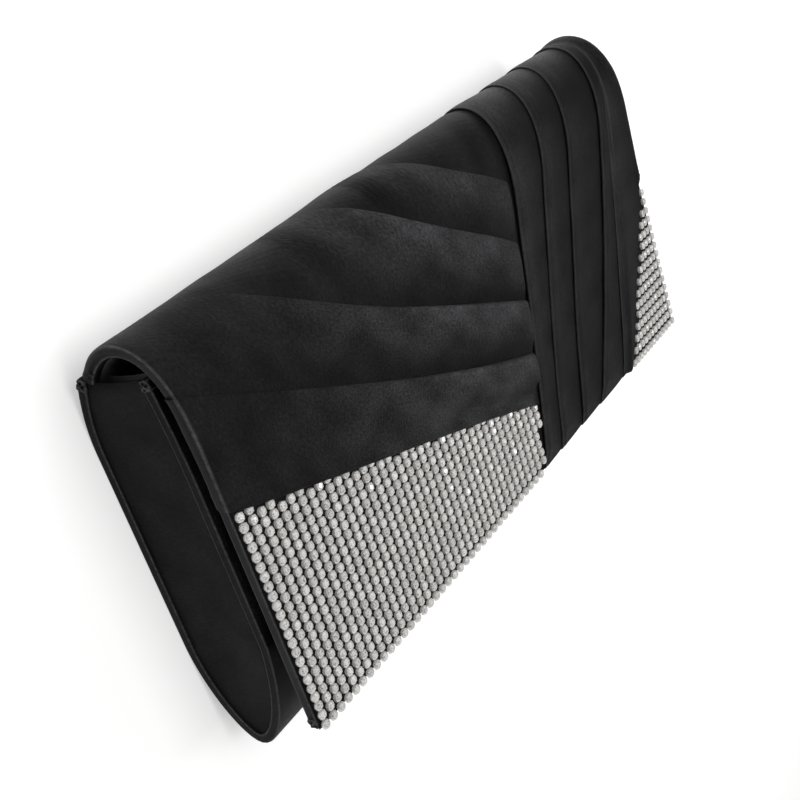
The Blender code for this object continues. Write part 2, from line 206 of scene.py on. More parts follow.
def edge_wear(section, x, s):
    """1 along the two corners of a covered board's edge, which are rubbed pale and carry a painted
    highlight, and 0 away from them.
    """
    x, s = np.broadcast_arrays(np.asarray(x, float), np.asarray(s, float))
    pale_marks = np.zeros(x.shape)
    past = [np.abs(x) - (HALF - CORE), CORE - s]
    if section is BODY:
        past.append(s - section.length + CORE)
    corner_width = 0.045
    for over in past:
        half_turns = over / CORE / math.pi
        for corner in (0.25, 0.75):
            pale_marks = np.maximum(pale_marks, np.exp(-((half_turns - corner) / corner_width) ** 2))
    return pale_marks


def crest_of(x, s, painted_light=PLAIN_PAINTED_LIGHT):
    """Light painted into the satin's colour: the given level on the panels, falling to a tenth round a
    board's edges as painted shade.
    """
    over = np.maximum(np.abs(x) - (HALF - CORE), CORE - s)
    return painted_light * (1 - 0.9 * eased(over / (0.8 * CORE)))


def eased(t):
    """A smooth step from 0 to 1 as t goes from 0 to 1."""
    t = np.clip(t, 0, 1)
    return t * t * (3 - 2 * t)


def puckers(x, s, size, number):
    """Soft hollows that run along a tuck and are closest at its narrow left end."""
    rng = np.random.default_rng(300 + number)
    total = 0
    for k in range(5):
        pitch = (9 + 3 * k) * MM * rng.uniform(0.8, 1.2)
        lean = rng.uniform(0.25, 0.55)
        sway = 3 * MM * np.sin(x / (rng.uniform(20, 34) * MM) + rng.uniform(0, 6))
        reach = np.exp(-((x - rng.uniform(-110, 20) * MM) / (rng.uniform(28, 50) * MM)) ** 2)
        total = total + np.sin(2 * math.pi * (s + lean * x + sway) / pitch + rng.uniform(0, 6)) * reach
    return size * total


def flat_inside(x, s, lift):
    """Lets a pleat's lift die away where its cloth turns round an edge to the inner side."""
    past_x = (np.abs(x) - (HALF - CORE)) / (math.pi * CORE)
    past_s = (CORE - s) / (math.pi * CORE)
    flat = eased((np.maximum(past_x, past_s) - 0.55) / 0.4)
    return lift * (1 - flat) + np.minimum(lift, 0.12 * MM) * flat


def ripple(x, s, size, length, seed):
    """A soft uneven surface: a few long waves whose directions follow from the seed."""
    rng = np.random.default_rng(seed)
    total = 0
    for _ in range(6):
        angle, phase = rng.uniform(0, 2 * math.pi, 2)
        wave = 2 * math.pi / (length * rng.uniform(0.6, 1.7))
        total = total + np.sin(wave * (x * math.cos(angle) + s * math.sin(angle)) + phase)
    return size * total / 6


# ------------------------------------------------------------- mesh helpers

def piece_of(name, mesh, finish):
    """A new object in the scene for a mesh, with its finish."""
    item = bpy.data.objects.new(name, mesh)
    bpy.context.scene.collection.objects.link(item)
    mesh.materials.append(finish)
    return item


def cloth_mesh(name, points, uv, finish, pale_marks=None, painted_light=None):
    """A grid of cloth. points is rows by columns by 3 and uv is rows by columns by 2, in metres.
    The pale marks, rows by columns, say where the cloth is painted pale, as rubbed by handling and as
    painted highlights along edges and folds, and the painted light how much light and shade is painted
    into the satin's colour at each point."""
    rows, columns = points.shape[:2]
    index = np.arange(rows * columns).reshape(rows, columns)
    quads = np.stack([index[:-1, :-1], index[:-1, 1:], index[1:, 1:], index[1:, :-1]], -1)
    mesh = bpy.data.meshes.new(name)
    mesh.from_pydata(points.reshape(-1, 3).tolist(), [], quads.reshape(-1, 4).tolist())
    layer = mesh.uv_layers.new(name=MAPPED)
    corner = np.zeros(len(mesh.loops), np.int32)
    mesh.loops.foreach_get("vertex_index", corner)
    layer.data.foreach_set("uv", uv.reshape(-1, 2)[corner].astype(np.float32).ravel())
    wear_and_highlight_layer = mesh.attributes.new("pale_marks", "FLOAT", "POINT")
    if pale_marks is not None:
        wear_and_highlight_layer.data.foreach_set("value", np.ascontiguousarray(pale_marks, np.float32).ravel())
    bright = mesh.attributes.new("painted_light", "FLOAT", "POINT")
    painted_light = np.broadcast_to(PLAIN_PAINTED_LIGHT if painted_light is None else painted_light, (rows, columns))
    bright.data.foreach_set("value", np.ascontiguousarray(painted_light, np.float32).ravel())
    mesh.shade_smooth()
    return piece_of(name, mesh, finish)


def select_only(item):
    """Makes one object the only selected one, and the active one."""
    bpy.ops.object.select_all(action="DESELECT")
    item.select_set(True)
    bpy.context.view_layer.objects.active = item


def apply_all(item):
    """Applies all of an object's modifiers."""
    select_only(item)
    for mod in list(item.modifiers):
        bpy.ops.object.modifier_apply(modifier=mod.name)
    item.select_set(False)


def thicken(item, thickness):
    """Gives cloth its thickness on its inner side."""
    mod = item.modifiers.new("thickness", "SOLIDIFY")
    mod.thickness = thickness
    mod.offset = -1
    apply_all(item)


def join(name, items):
    """Makes one object of several."""
    select_only(items[0])
    for item in items:
        item.select_set(True)
    if len(items) > 1:
        bpy.ops.object.join()
    joined = bpy.context.view_layer.objects.active
    joined.name = name
    joined.data.name = name
    joined.select_set(False)
    return joined


def settle(item):
    """Puts a finished piece's place into its mesh."""
    select_only(item)
    bpy.ops.object.transform_apply(location=True, rotation=True, scale=True)
    item.select_set(False)


def between(low, high, step):
    """Positions from low to high, about a step apart."""
    return np.linspace(low, high, max(2, int(round((high - low) / step)) + 1))


def across(low, high, step):
    """Positions from low to high, close together where the cloth turns round the bag's ends."""
    fine = 0.2 * MM
    bend = HALF - CORE
    stops = [low]
    for edge in (-bend - math.pi * CORE, -bend, bend, bend + math.pi * CORE):
        if low < edge < high:
            stops.append(edge)
    stops.append(high)
    runs = []
    for a, b in zip(stops, stops[1:]):
        middle = abs((a + b) / 2)
        turning = bend < middle < bend + math.pi * CORE
        runs.append(between(a, b, fine if turning else step)[:-1])
    return np.r_[np.concatenate(runs), high]


# ---------------------------------------------------------------- materials

def new_material(name, colour, roughness, metallic=0.0):
    """A material with its node tree and its main shader."""
    made = bpy.data.materials.new(name)
    made.use_nodes = True
    shader = made.node_tree.nodes["Principled BSDF"]
    shader.inputs["Base Color"].default_value = (*colour, 1)
    shader.inputs["Roughness"].default_value = roughness
    shader.inputs["Metallic"].default_value = metallic
    return made, made.node_tree, shader


def kept(make_finish):
    """Makes a finish, named after its function, once, and gives the same one back after that."""
    def finish():
        return bpy.data.materials.get(make_finish.__name__) or make_finish(make_finish.__name__)
    return finish


def node(tree, kind, **values):
    """A new shader node. Each value goes to the input of that name, or else to the setting."""
    made = tree.nodes.new(kind)
    for key, value in values.items():
        if key in made.inputs:
            made.inputs[key].default_value = value
        else:
            setattr(made, key, value)
    return made


def millimetres(tree, on_cloth, turn=0.0, scale=(1000, 1000, 1000)):
    """Coordinates in millimetres, on the cloth's own map or in the bag's frame."""
    if on_cloth:
        source = node(tree, "ShaderNodeUVMap", uv_map=MAPPED).outputs["UV"]
    else:
        source = tree.nodes.new("ShaderNodeTexCoord").outputs["Object"]
    mapping = node(tree, "ShaderNodeMapping", Scale=scale, Rotation=(0, 0, turn))
    tree.links.new(source, mapping.inputs["Vector"])
    return mapping.outputs["Vector"]


def noise(tree, vector, size_mm, detail=3.0, roughness=0.55):
    """Uneven patches of about one size."""
    made = node(tree, "ShaderNodeTexNoise", Scale=1 / size_mm, Detail=detail, Roughness=roughness)
    tree.links.new(vector, made.inputs["Vector"])
    return made.outputs["Fac"]


def bands(tree, vector, pitch_mm, direction="X", distortion=0.0):
    """Threads side by side, one to each pitch."""
    made = node(tree, "ShaderNodeTexWave", Scale=math.pi / 10 / pitch_mm, Distortion=distortion,
                bands_direction=direction)
    tree.links.new(vector, made.inputs["Vector"])
    return made.outputs["Fac"]


def maths(tree, operation, a, b=None, clamp=False):
    """The result of one operation on two sockets or numbers."""
    made = node(tree, "ShaderNodeMath", operation=operation, use_clamp=clamp)
    for socket, value in zip(made.inputs, (a, b)):
        if hasattr(value, "links"):
            tree.links.new(value, socket)
        elif value is not None:
            socket.default_value = value
    return made.outputs[0]


def remap(tree, value, low, high, from_low=0.0, from_high=1.0):
    """Stretches a value's range, from_low to from_high, to low to high."""
    made = node(tree, "ShaderNodeMapRange")
    for socket, limit in (("From Min", from_low), ("From Max", from_high),
                          ("To Min", low), ("To Max", high)):
        made.inputs[socket].default_value = limit
    tree.links.new(value, made.inputs["Value"])
    return made.outputs["Result"]


MIX_FACTOR, MIX_FROM, MIX_TO, MIX_COLOUR = 0, 6, 7, 2    # places of a Mix node's colour sockets


def tint(tree, value, dark, pale):
    """A colour between a dark one, which may be a socket, and a pale one."""
    made = node(tree, "ShaderNodeMix", data_type="RGBA")
    if hasattr(dark, "links"):
        tree.links.new(dark, made.inputs[MIX_FROM])
    else:
        made.inputs[MIX_FROM].default_value = (*dark, 1)
    made.inputs[MIX_TO].default_value = (*pale, 1)
    tree.links.new(value, made.inputs[MIX_FACTOR])
    return made.outputs[MIX_COLOUR]


def scaled(colour, amount):
    """A colour made darker or paler, and never past white."""
    return tuple(min(1, c * amount) for c in colour)


def raise_surface(tree, shader, height, distance_mm, strength=1.0):
    """Gives the surface a fine relief."""
    made = node(tree, "ShaderNodeBump", Strength=strength, Distance=distance_mm * MM)
    tree.links.new(height, made.inputs["Height"])
    tree.links.new(made.outputs["Normal"], shader.inputs["Normal"])


def satin(name="black_satin", gloss=1.0, shade=1.0):
    """Black satin: fine floats on a diagonal, with slubs, a faint sheen, and edges rubbed pale with
    painted highlights along them. The cloth's painted light attribute paints light and shade into its
    colour at each place, gloss dulls all of it, and shade darkens all of it as painted shade."""
    found = bpy.data.materials.get(name)
    if found:
        return found
    plain = tuple(bpy.context.scene.evening_bag_colours.satin)
    made, tree, shader = new_material(name, plain, 0.42)
    cloth = millimetres(tree, True)
    grain = noise(tree, millimetres(tree, True, scale=(2100, 380, 1000)), 1.0, 2.0)
    slub = noise(tree, cloth, 0.42, 2.0)
    cloud = noise(tree, cloth, 14.0, 1.0)
    raise_surface(tree, shader, satin_relief(tree, cloth, grain, slub), 0.13)
    tone = maths(tree, "ADD", maths(tree, "MULTIPLY", cloud, 1.3), maths(tree, "MULTIPLY", grain, 0.8))
    tone = maths(tree, "ADD", maths(tree, "MULTIPLY", slub, 1.1), tone)
    tone = maths(tree, "SUBTRACT", tone, 1.1, True)
    woven = tint(tree, tone, scaled(plain, 0.1 * shade), scaled(plain, 3.2 * shade))
    # the woven colour is scaled by the painted light and shade
    lit = node(tree, "ShaderNodeVectorMath", operation="SCALE")
    tree.links.new(woven, lit.inputs[0])
    tree.links.new(satin_brightness(tree, cloth), lit.inputs["Scale"])
    # pale colour of rubbed edges and of painted highlights along edges and folds
    rubbed_and_highlight_colour = tuple(min(1, c * 9 + 0.05) for c in plain)
    edged = tint(tree, satin_wear(tree, cloth), lit.outputs[0], rubbed_and_highlight_colour)
    tree.links.new(edged, shader.inputs["Base Color"])
    mix = maths(tree, "ADD", maths(tree, "MULTIPLY", cloud, 0.5), maths(tree, "MULTIPLY", grain, 0.5))
    tree.links.new(remap(tree, mix, 0.6, 0.34), shader.inputs["Roughness"])
    shader.inputs["Specular IOR Level"].default_value = 0.11 * gloss
    shader.inputs["Sheen Weight"].default_value = 0.015 * gloss
    shader.inputs["Sheen Roughness"].default_value = 0.35
    shader.inputs["Sheen Tint"].default_value = (0.85, 0.87, 0.92, 1)
    return made


def satin_relief(tree, cloth, grain, slub):
    """Threads both ways, the weft on a diagonal, with the grain and the slubs over them."""
    turned = millimetres(tree, True, turn=math.radians(32))
    weft = bands(tree, turned, 0.34, "X", 0.6)
    warp = bands(tree, cloth, 0.21, "Y", 0.8)
    threads = maths(tree, "ADD", maths(tree, "MULTIPLY", weft, 0.55), maths(tree, "MULTIPLY", warp, 0.3))
    rough = maths(tree, "ADD", maths(tree, "MULTIPLY", grain, 0.9), maths(tree, "MULTIPLY", slub, 0.9))
    return maths(tree, "ADD", threads, rough)


def satin_brightness(tree, cloth):
    """The light and shade painted into the satin: a dull base and the painted light attribute, with a
    fine unevenness.
    """
    painted_light = node(tree, "ShaderNodeAttribute", attribute_name="painted_light").outputs["Fac"]
    strength = maths(tree, "ADD", maths(tree, "MULTIPLY", painted_light, 4.2), 0.33)
    fine = remap(tree, noise(tree, cloth, 0.8, 1.0), 0.5, 1.5, 0.3, 0.7)
    return maths(tree, "MULTIPLY", strength, fine)


def satin_wear(tree, cloth):
    """Where the edges are painted pale, as rubbed cloth and as painted highlights, in uneven patches."""
    pale_marks = node(tree, "ShaderNodeAttribute", attribute_name="pale_marks").outputs["Fac"]
    patches = remap(tree, noise(tree, cloth, 1.3, 4.0, 0.7), -0.5, 2.1)
    return maths(tree, "MULTIPLY", pale_marks, patches, True)


def shaded_satin():
    """The body's satin: the same satin as the flap's, with less gloss, and darker as painted shade for
    the parts that lie in shade.
    """
    return satin("shaded_satin", 0.45, 0.62)


@kept
def lining_cloth(name):
    """Matt plain-woven lining."""
    colours = bpy.context.scene.evening_bag_colours
    made, tree, shader = new_material(name, colours.lining, 0.75)
    cloth = millimetres(tree, True)
    weft = bands(tree, cloth, 0.5, "X", 0.5)
    warp = bands(tree, cloth, 0.5, "Y", 0.5)
    weave = maths(tree, "MULTIPLY", weft, warp)
    pale_marks = noise(tree, cloth, 9.0, 4.0)
    raise_surface(tree, shader, maths(tree, "ADD", weave, maths(tree, "MULTIPLY", pale_marks, 0.8)), 0.08, 0.6)
    tone = maths(tree, "ADD", maths(tree, "MULTIPLY", weave, 0.6), maths(tree, "MULTIPLY", pale_marks, 0.4))
    tree.links.new(tint(tree, tone, scaled(colours.lining, 0.6), scaled(colours.lining, 1.8)),
                   shader.inputs["Base Color"])
    shader.inputs["Sheen Weight"].default_value = 0.04
    return made


@kept
def net_cloth(name):
    """Fine black net: holes between thin threads."""
    made, tree, shader = new_material(name, (0.006, 0.006, 0.006), 0.7)
    shader.inputs["Specular IOR Level"].default_value = 0.1
    cloth = millimetres(tree, True)
    grid = maths(tree, "MAXIMUM", bands(tree, cloth, 0.6, "X"), bands(tree, cloth, 0.6, "Y"))
    raise_surface(tree, shader, grid, 0.12, 0.8)
    tree.links.new(tint(tree, grid, (0.0015, 0.0015, 0.0015), (0.008, 0.008, 0.0085)),
                   shader.inputs["Base Color"])
    return made


def bright_metal(name, colour, roughness, fine_mm, metallic=1.0):
    """Plated metal with fine handling marks and a little unevenness."""
    found = bpy.data.materials.get(name)
    if found:
        return found
    made, tree, shader = new_material(name, colour, roughness, metallic)
    place = millimetres(tree, False)
    marks = noise(tree, place, fine_mm, 4.0, 0.7)
    stain = noise(tree, place, fine_mm * 9, 3.0)
    tree.links.new(remap(tree, marks, roughness * 0.6, roughness * 1.7), shader.inputs["Roughness"])
    tree.links.new(tint(tree, stain, scaled(colour, 0.78), colour),
                   shader.inputs["Base Color"])
    raise_surface(tree, shader, marks, 0.02, 0.25)
    return made


def plated(name):
    """The two plated finishes of the bag: the crystals' cups, and the magnetic snap."""
    if name == "cup_silver":
        return bright_metal(name, (0.99, 0.98, 0.96), 0.3, 0.5, 0.1)
    return bright_metal(name, (0.82, 0.80, 0.76), 0.2, 1.4)


@kept
def crystal_glass(name):
    """Clear foil-backed crystal: pale facets with dark reflections painted into their colour as glints,
    each stone a little different.
    """
    colours = bpy.context.scene.evening_bag_colours
    made, tree, shader = new_material(name, colours.crystal, 0.06, 0.08)
    own = node(tree, "ShaderNodeAttribute", attribute_name="tone").outputs["Fac"]
    # painted reflections: dark specks painted into the crystals' colour
    painted_glint = noise(tree, millimetres(tree, False), 0.55, 1.0)
    sharp = remap(tree, painted_glint, 0.0, 1.0, 0.34, 0.44)
    tone = maths(tree, "ADD", maths(tree, "MULTIPLY", own, 0.35), maths(tree, "MULTIPLY", sharp, 0.65))
    tree.links.new(tint(tree, tone, scaled(colours.crystal, 0.25), colours.crystal),
                   shader.inputs["Base Color"])
    tree.links.new(remap(tree, own, 0.05, 0.16), shader.inputs["Roughness"])
    shader.inputs["Coat Weight"].default_value = 1.0
    shader.inputs["Coat Roughness"].default_value = 0.02
    shader.inputs["Specular IOR Level"].default_value = 0.8
    return made


@kept
def board_card(name):
    """Pressed card: fibres and specks."""
    made, tree, shader = new_material(name, (0.33, 0.29, 0.23), 0.9)
    place = millimetres(tree, False)
    fibre = noise(tree, place, 1.1, 6.0, 0.7)
    speck = noise(tree, place, 0.4, 2.0)
    tree.links.new(tint(tree, fibre, (0.22, 0.19, 0.15), (0.42, 0.38, 0.31)),
                   shader.inputs["Base Color"])
    raise_surface(tree, shader, speck, 0.08, 0.5)
    return made


@kept
def foam_sheet(name):
    """Open-celled foam."""
    made, tree, shader = new_material(name, (0.75, 0.74, 0.7), 0.95)
    place = millimetres(tree, False)
    cells = node(tree, "ShaderNodeTexVoronoi", Scale=2.2)
    tree.links.new(place, cells.inputs["Vector"])
    tree.links.new(tint(tree, cells.outputs["Distance"], (0.5, 0.49, 0.45), (0.82, 0.81, 0.77)),
                   shader.inputs["Base Color"])
    raise_surface(tree, shader, cells.outputs["Distance"], 0.2, 0.7)
    return made


@kept
def magnet_ferrite(name):
    """Dark sintered magnet."""
    made, tree, shader = new_material(name, (0.05, 0.05, 0.053), 0.55)
    grain = noise(tree, millimetres(tree, False), 0.35, 5.0, 0.7)
    tree.links.new(tint(tree, grain, (0.02, 0.02, 0.022), (0.09, 0.09, 0.095)),
                   shader.inputs["Base Color"])
    tree.links.new(remap(tree, grain, 0.4, 0.75), shader.inputs["Roughness"])
    raise_surface(tree, shader, grain, 0.05, 0.5)
    return made


def studio_paper():
    """Pale paper that glows a little, as on a light table."""
    colours = bpy.context.scene.evening_bag_colours
    made, tree, shader = new_material("studio_paper", colours.floor, 0.8)
    fibre = noise(tree, millimetres(tree, False), 30.0, 2.0)
    tree.links.new(tint(tree, fibre, scaled(colours.floor, 0.985), colours.floor),
                   shader.inputs["Base Color"])
    shader.inputs["Specular IOR Level"].default_value = 0.15
    shader.inputs["Emission Color"].default_value = (1, 1, 1, 1)
    shader.inputs["Emission Strength"].default_value = 0.46
    return made


# -------------------------------------------------------- lines on the flap

def line_through(points):
    """A smooth line given by four points, as its second coordinate over its first."""
    first, second = np.array(points, float).T
    weights = np.polyfit(first, second, 3)
    return lambda v: np.polyval(weights, np.asarray(v) / MM) * MM


# Across the flap: x over the distance s up from the free edge, both in millimetres.
BAND_FOLDS = [line_through(points) for points in (
    [(0, 11.0), (50, 26.8), (100, 40.4), (150, 54.0)],
    [(0, 24.3), (50, 41.6), (100, 62.3), (150, 77.0)],
    [(0, 41.0), (50, 60.3), (100, 82.0), (150, 97.0)],
    [(0, 56.6), (50, 85.6), (100, 107.6), (150, 117.5)],
    [(0, 77.0), (50, 97.0), (100, 113.3), (150, 121.0)],
)]
# Along the flap: s over x. The first is the lower edge of the satin, over the crystals.
TUCK_FOLDS = [line_through(points) for points in (
    [(-130, 73.8), (-91.5, 60.8), (-47.6, 46.6), (20, 23.4)],
    [(-125, 105.0), (-68, 77.1), (-13, 52.8), (32, 37.0)],
    [(-105, 129.6), (-60, 98.6), (-7, 72.4), (35, 53.5)],
    [(-45, 130.0), (-17, 105.4), (6, 91.6), (40, 69.5)],
    [(-12, 136.0), (7, 114.2), (22, 104.5), (46, 88.0)],
)]
BAND_END = (84.9 * MM, 0.68)      # the band's right edge at the flap's edge, and its slope
WRAP_END = HALF + 7 * MM          # where the band's cloth ends, under the flap
PLEAT_RISES = (1.25, 1.0, 1.0, 1.15, 0.55)      # how far each pleat stands up beside the others
PLEAT_PAINTED_LIGHT = ((0.34, 0.1), (0.24, 0.04), (0.17, 0.02), (0.2, 0.06), (0.26, 0.12))
# Light painted on each pleat: a painted highlight at its fold and painted shade at its hidden side,
# above, and a painted highlight on each tuck under its own fold, below.
TUCK_PAINTED_LIGHT = (0.98, 1.05, 0.95, 0.7, 0.2)
TUCK_PUFFS = (3.6, 3.1, 1.7, 0.8, 0.0)          # how far each tuck puffs up beside the others


def band_end_x(s):
    """x of the band's right edge, which runs out to the flap's end and turns round it."""
    x = BAND_END[0] + BAND_END[1] * np.asarray(s)
    soft = 6 * MM
    return WRAP_END - soft * np.log1p(np.exp(np.clip((WRAP_END - x) / soft, -30, 30)))


def band_left(s):
    """x of the band's left edge."""
    return BAND_FOLDS[0](np.clip(s, -3 * MM, MOUTH_S))


def strip_profile(low, top, far, width, puff=0.0, over=26, full=1.0, knee=None):
    """Distances in from the fold and lifts of a folded strip, on its under-turn, its fold and
    its top. low and top are the lifts of the fold's two sides, and far that of its hidden end.
    The grid is closer past the knee, where the strip turns round the flap's end."""
    radius = (top - low) / 2
    under = np.linspace(1, 0, 5)[:-1]
    turn = np.linspace(0, math.pi, 9)
    steps = np.linspace(0, 1, over)[1:]
    low, top, far, width, radius, puff = (np.asarray(v, float)[..., None]
                                          for v in (low, top, far, width, radius, puff))
    if knee is None:
        out = steps ** 1.6
    else:
        bend = (knee[:, None] - radius) / (width - radius)
        out = np.where(steps < 0.4, bend * (steps / 0.4), bend + (1 - bend) * (steps - 0.4) / 0.6)
    d_under = radius + under * UNDERLAP
    l_under = low * (1 - 0.35 * under) + 0 * d_under
    d_turn = radius * (1 - np.sin(turn))
    l_turn = low + radius * (1 - np.cos(turn))
    d_out = radius + out * (width - radius)
    fall = (1 - out ** full) ** 1.15
    l_out = far + (top - far) * fall + puff * np.sin(math.pi * np.minimum(out * 1.25, 1)) ** 1.2
    return (np.concatenate([d_under, d_turn, d_out], -1),
            np.concatenate([l_under, l_turn, l_out], -1))


def cloth_map(along, points):
    """A weave map: distances along each strand of the grid, and across it."""
    steps = np.linalg.norm(np.diff(points, axis=1), axis=-1).mean(0)
    run = np.r_[0, np.cumsum(steps)]
    return np.stack([np.broadcast_to(np.asarray(along)[:, None], points.shape[:2]),
                     np.broadcast_to(run, points.shape[:2])], -1)


# -------------------------------------------------------------- flap pieces

def band_pleat(number, finish):
    """One steep pleat: its folded left edge lies over its left neighbour."""
    turn_s = CORE - math.pi * CORE - TURN
    s = np.r_[between(turn_s, CORE, 0.25 * MM)[:-1], between(CORE, MOUTH_S, 1.5 * MM)]
    fold = BAND_FOLDS[number](np.clip(s, -3 * MM, MOUTH_S))
    last = number == len(BAND_FOLDS) - 1
    round_the_end = number > 2
    if last:
        far_x = band_end_x(np.maximum(s, -4 * MM))
    else:
        far_x = BAND_FOLDS[number + 1](np.clip(s, -3 * MM, MOUTH_S)) + UNDERLAP
    width = far_x - fold
    press = pleat_press(s)
    low = 0.75 * MM * press
    top = low + bpy.context.scene.evening_bag_sizes.pleat_rise * PLEAT_RISES[number] * press
    far = (0.5 if last else 0.35) * MM * press
    knee = np.clip(HALF - CORE - fold, 2 * MM, width - 3 * MM) if round_the_end else None
    d, lift = strip_profile(low, top, far, width, puff=0.25 * MM * press, knee=knee,
                            over=46 if round_the_end else 26)
    x = fold[:, None] + d
    rows = np.broadcast_to(s[:, None], x.shape)
    if last:
        lift = rounded_end(s, far_x[:, None] - x, d, lift, far[:, None])
    else:
        crease = 0.14 * MM * eased((d - 3.6 * MM - 0.02 * rows) / (1.2 * MM)) * press[:, None]
        lift = lift + np.where(d > 2 * MM, 0.14 * MM * press[:, None] - crease, 0)
    if round_the_end:
        lift = lift + end_bulge(s, x)
    x = x + ripple(x, rows, 0.35 * MM, 46 * MM, 20 + number)
    lift = lift + ripple(x, rows, 0.16 * MM, 24 * MM, 40 + number)
    points = covered(FLAP, x, rows, flat_inside(x, rows, lift))
    # pale marks: rubbed edge corners with painted highlights, and a painted highlight along the pleat's
    # fold
    pale_marks = np.maximum(edge_wear(FLAP, x, rows), np.exp(-(d / (0.6 * MM)) ** 2) * 0.3)
    if last:
        # a painted highlight along the last pleat's low soft ridge
        highlight_streak = np.exp(-((d - 2.6 * MM) / (0.45 * MM)) ** 2) * eased((rows - 60 * MM) / (30 * MM))
        pale_marks = np.maximum(pale_marks, 0.4 * highlight_streak)
    share = np.clip(d / np.maximum(width[:, None] - UNDERLAP, 4 * MM), 0, 1)
    # painted highlight and shade on the pleat, and painted shade round the board's edges
    painted_light = crest_of(x, rows, pleat_crest(number, share, rows))
    return cloth_mesh(f"pleat_{number}", points, cloth_map(s, points), finish, pale_marks, painted_light)


def pleat_press(s):
    """How much of its rise a pleat keeps: least at the flap's edge, and less over the arch."""
    press = 0.35 + 0.65 * eased((s + 1.0 * MM) / (7 * MM))
    press = press * (1 - 0.35 * eased((s - 95 * MM) / (28 * MM)))
    return press * (1 - 0.4 * eased((s - MOUTH_S + 22 * MM) / (22 * MM)))


def rounded_end(s, to_end, d, lift, far):
    """Rounds the last pleat's free right edge down to the crystals, and leaves it nearly as it is
    where it turns round the flap's end."""
    round_the_end = eased((s - 56 * MM) / (12 * MM))[:, None]
    near_end = eased(to_end / (1.3 * MM))
    rounded = far * 0.2 + (lift + 1.1 * MM - far * 0.2) * np.sqrt(near_end)
    rounded = lift + (rounded - lift) * eased((d - 3 * MM) / (3 * MM))
    return rounded * (1 - round_the_end) + (lift + 0.1 * MM * (d > 3 * MM)) * round_the_end


def end_bulge(s, x):
    """How far the band's cloth stands out where it turns round the flap's right end."""
    bulge = np.interp(s, [50 * MM, 62 * MM, 85 * MM, 105 * MM, 128 * MM, MOUTH_S],
                      [0, 1.3 * MM, 2.1 * MM, 3.3 * MM, 3.0 * MM, 0.6 * MM])
    return bulge[:, None] * eased((x - (HALF - CORE - 1.2 * MM)) / (1.2 * MM + 0.5 * math.pi * CORE))


def pleat_crest(number, share, s):
    """Light painted on a pleat: a painted highlight at its fold that falls to painted shade at its
    hidden side, and a painted highlight over the arch.
    """
    near, away = PLEAT_PAINTED_LIGHT[number]
    return near + (away - near) * eased((share - 0.1) / 0.9) + 1.6 * eased((s - 112 * MM) / (32 * MM))


def tuck_columns(number):
    """Columns of a tuck's cloth: x at the tuck's upper edge, s of its upper and lower edges, and
    each column's share of the way from the bag's left end to the band."""
    left = -TURNED_END
    below = TUCK_FOLDS[number]
    last = number == len(TUCK_FOLDS) - 1
    x = across(left, 50 * MM, 1.6 * MM)
    for _ in range(4):
        s_top = MOUTH_S + 0 * x if last else np.minimum(TUCK_FOLDS[number + 1](x), MOUTH_S)
        share = (x - left) / (x[-1] - left)
        x = left + (band_left(s_top) + 5 * MM - left) * share
    s_top = MOUTH_S + 0 * x if last else np.minimum(TUCK_FOLDS[number + 1](x), MOUTH_S)
    s_low = np.minimum(below(x), MOUTH_S) - (8 * MM if number else 0)
    keep = s_top - s_low > 1.5 * MM
    return x[keep], s_top[keep], s_low[keep], share[keep]


def long_tuck(number, finish):
    """One long tuck of the fanned panel: its folded upper edge lies over the next one up."""
    last = number == len(TUCK_FOLDS) - 1
    x, s_top, s_low, share = tuck_columns(number)
    open_right = eased((x + 110 * MM) / (125 * MM)) ** 1.6
    low = (0.5 + 0.55 * open_right) * MM * (1 - 0.6 * eased((s_top - 108 * MM) / (30 * MM)))
    rise = 0.42 * MM + bpy.context.scene.evening_bag_sizes.tuck_rise * TUCK_PUFFS[number] * open_right
    top = low + (0.05 * MM if last else rise * (1 - 0.75 * eased((s_top - 118 * MM) / (36 * MM))))
    d, lift = strip_profile(low, top, np.full_like(low, 0.22 * MM), s_top - s_low,
                            puff=(0.3 + 0.9 * open_right) * MM * (0.4 if last else 1), over=34,
                            full=1.0 if last else 1.9)
    s = s_top[:, None] - d
    x_here = (band_left(s) + 5 * MM + TURNED_END) * share[:, None] - TURNED_END
    if number == 2:
        lift = lift + extra_crease(x_here, s)
    gap = (band_left(s) - x_here - 0.6 * MM) / (5.5 * MM)
    lift = 0.2 * MM + (lift - 0.2 * MM) * (0.12 + 0.88 * eased(gap))
    soft = ripple(x_here, s, 0.2 * MM, 26 * MM, 60 + number) + puckers(x_here, s, 0.05 * MM, number)
    lift = np.maximum(lift + soft * eased(gap), 0.1 * MM)
    if number == 0:
        x_here, s, lift = hem_over_crystals(x_here, s, lift)
    points = covered(FLAP, x_here, s, flat_inside(x_here, s, lift))
    # painted highlight and shade on the tuck, and painted shade round the board's edges
    painted_light = crest_of(x_here, s, tuck_crest(number, x_here, s))
    return cloth_mesh(f"tuck_{number}", points, cloth_map(x, points), finish,
                      edge_wear(FLAP, x_here, s), painted_light)


def extra_crease(x, s):
    """The short soft fold that rises in the middle tuck on its way to the band."""
    crease = line_through([(-61, 118.1), (-38, 105.5), (-20, 91.6), (24, 62.4)])(x)
    near = np.exp(-((s - crease) / (2.6 * MM)) ** 2)
    return 0.55 * MM * near * eased((x + 70 * MM) / (60 * MM))


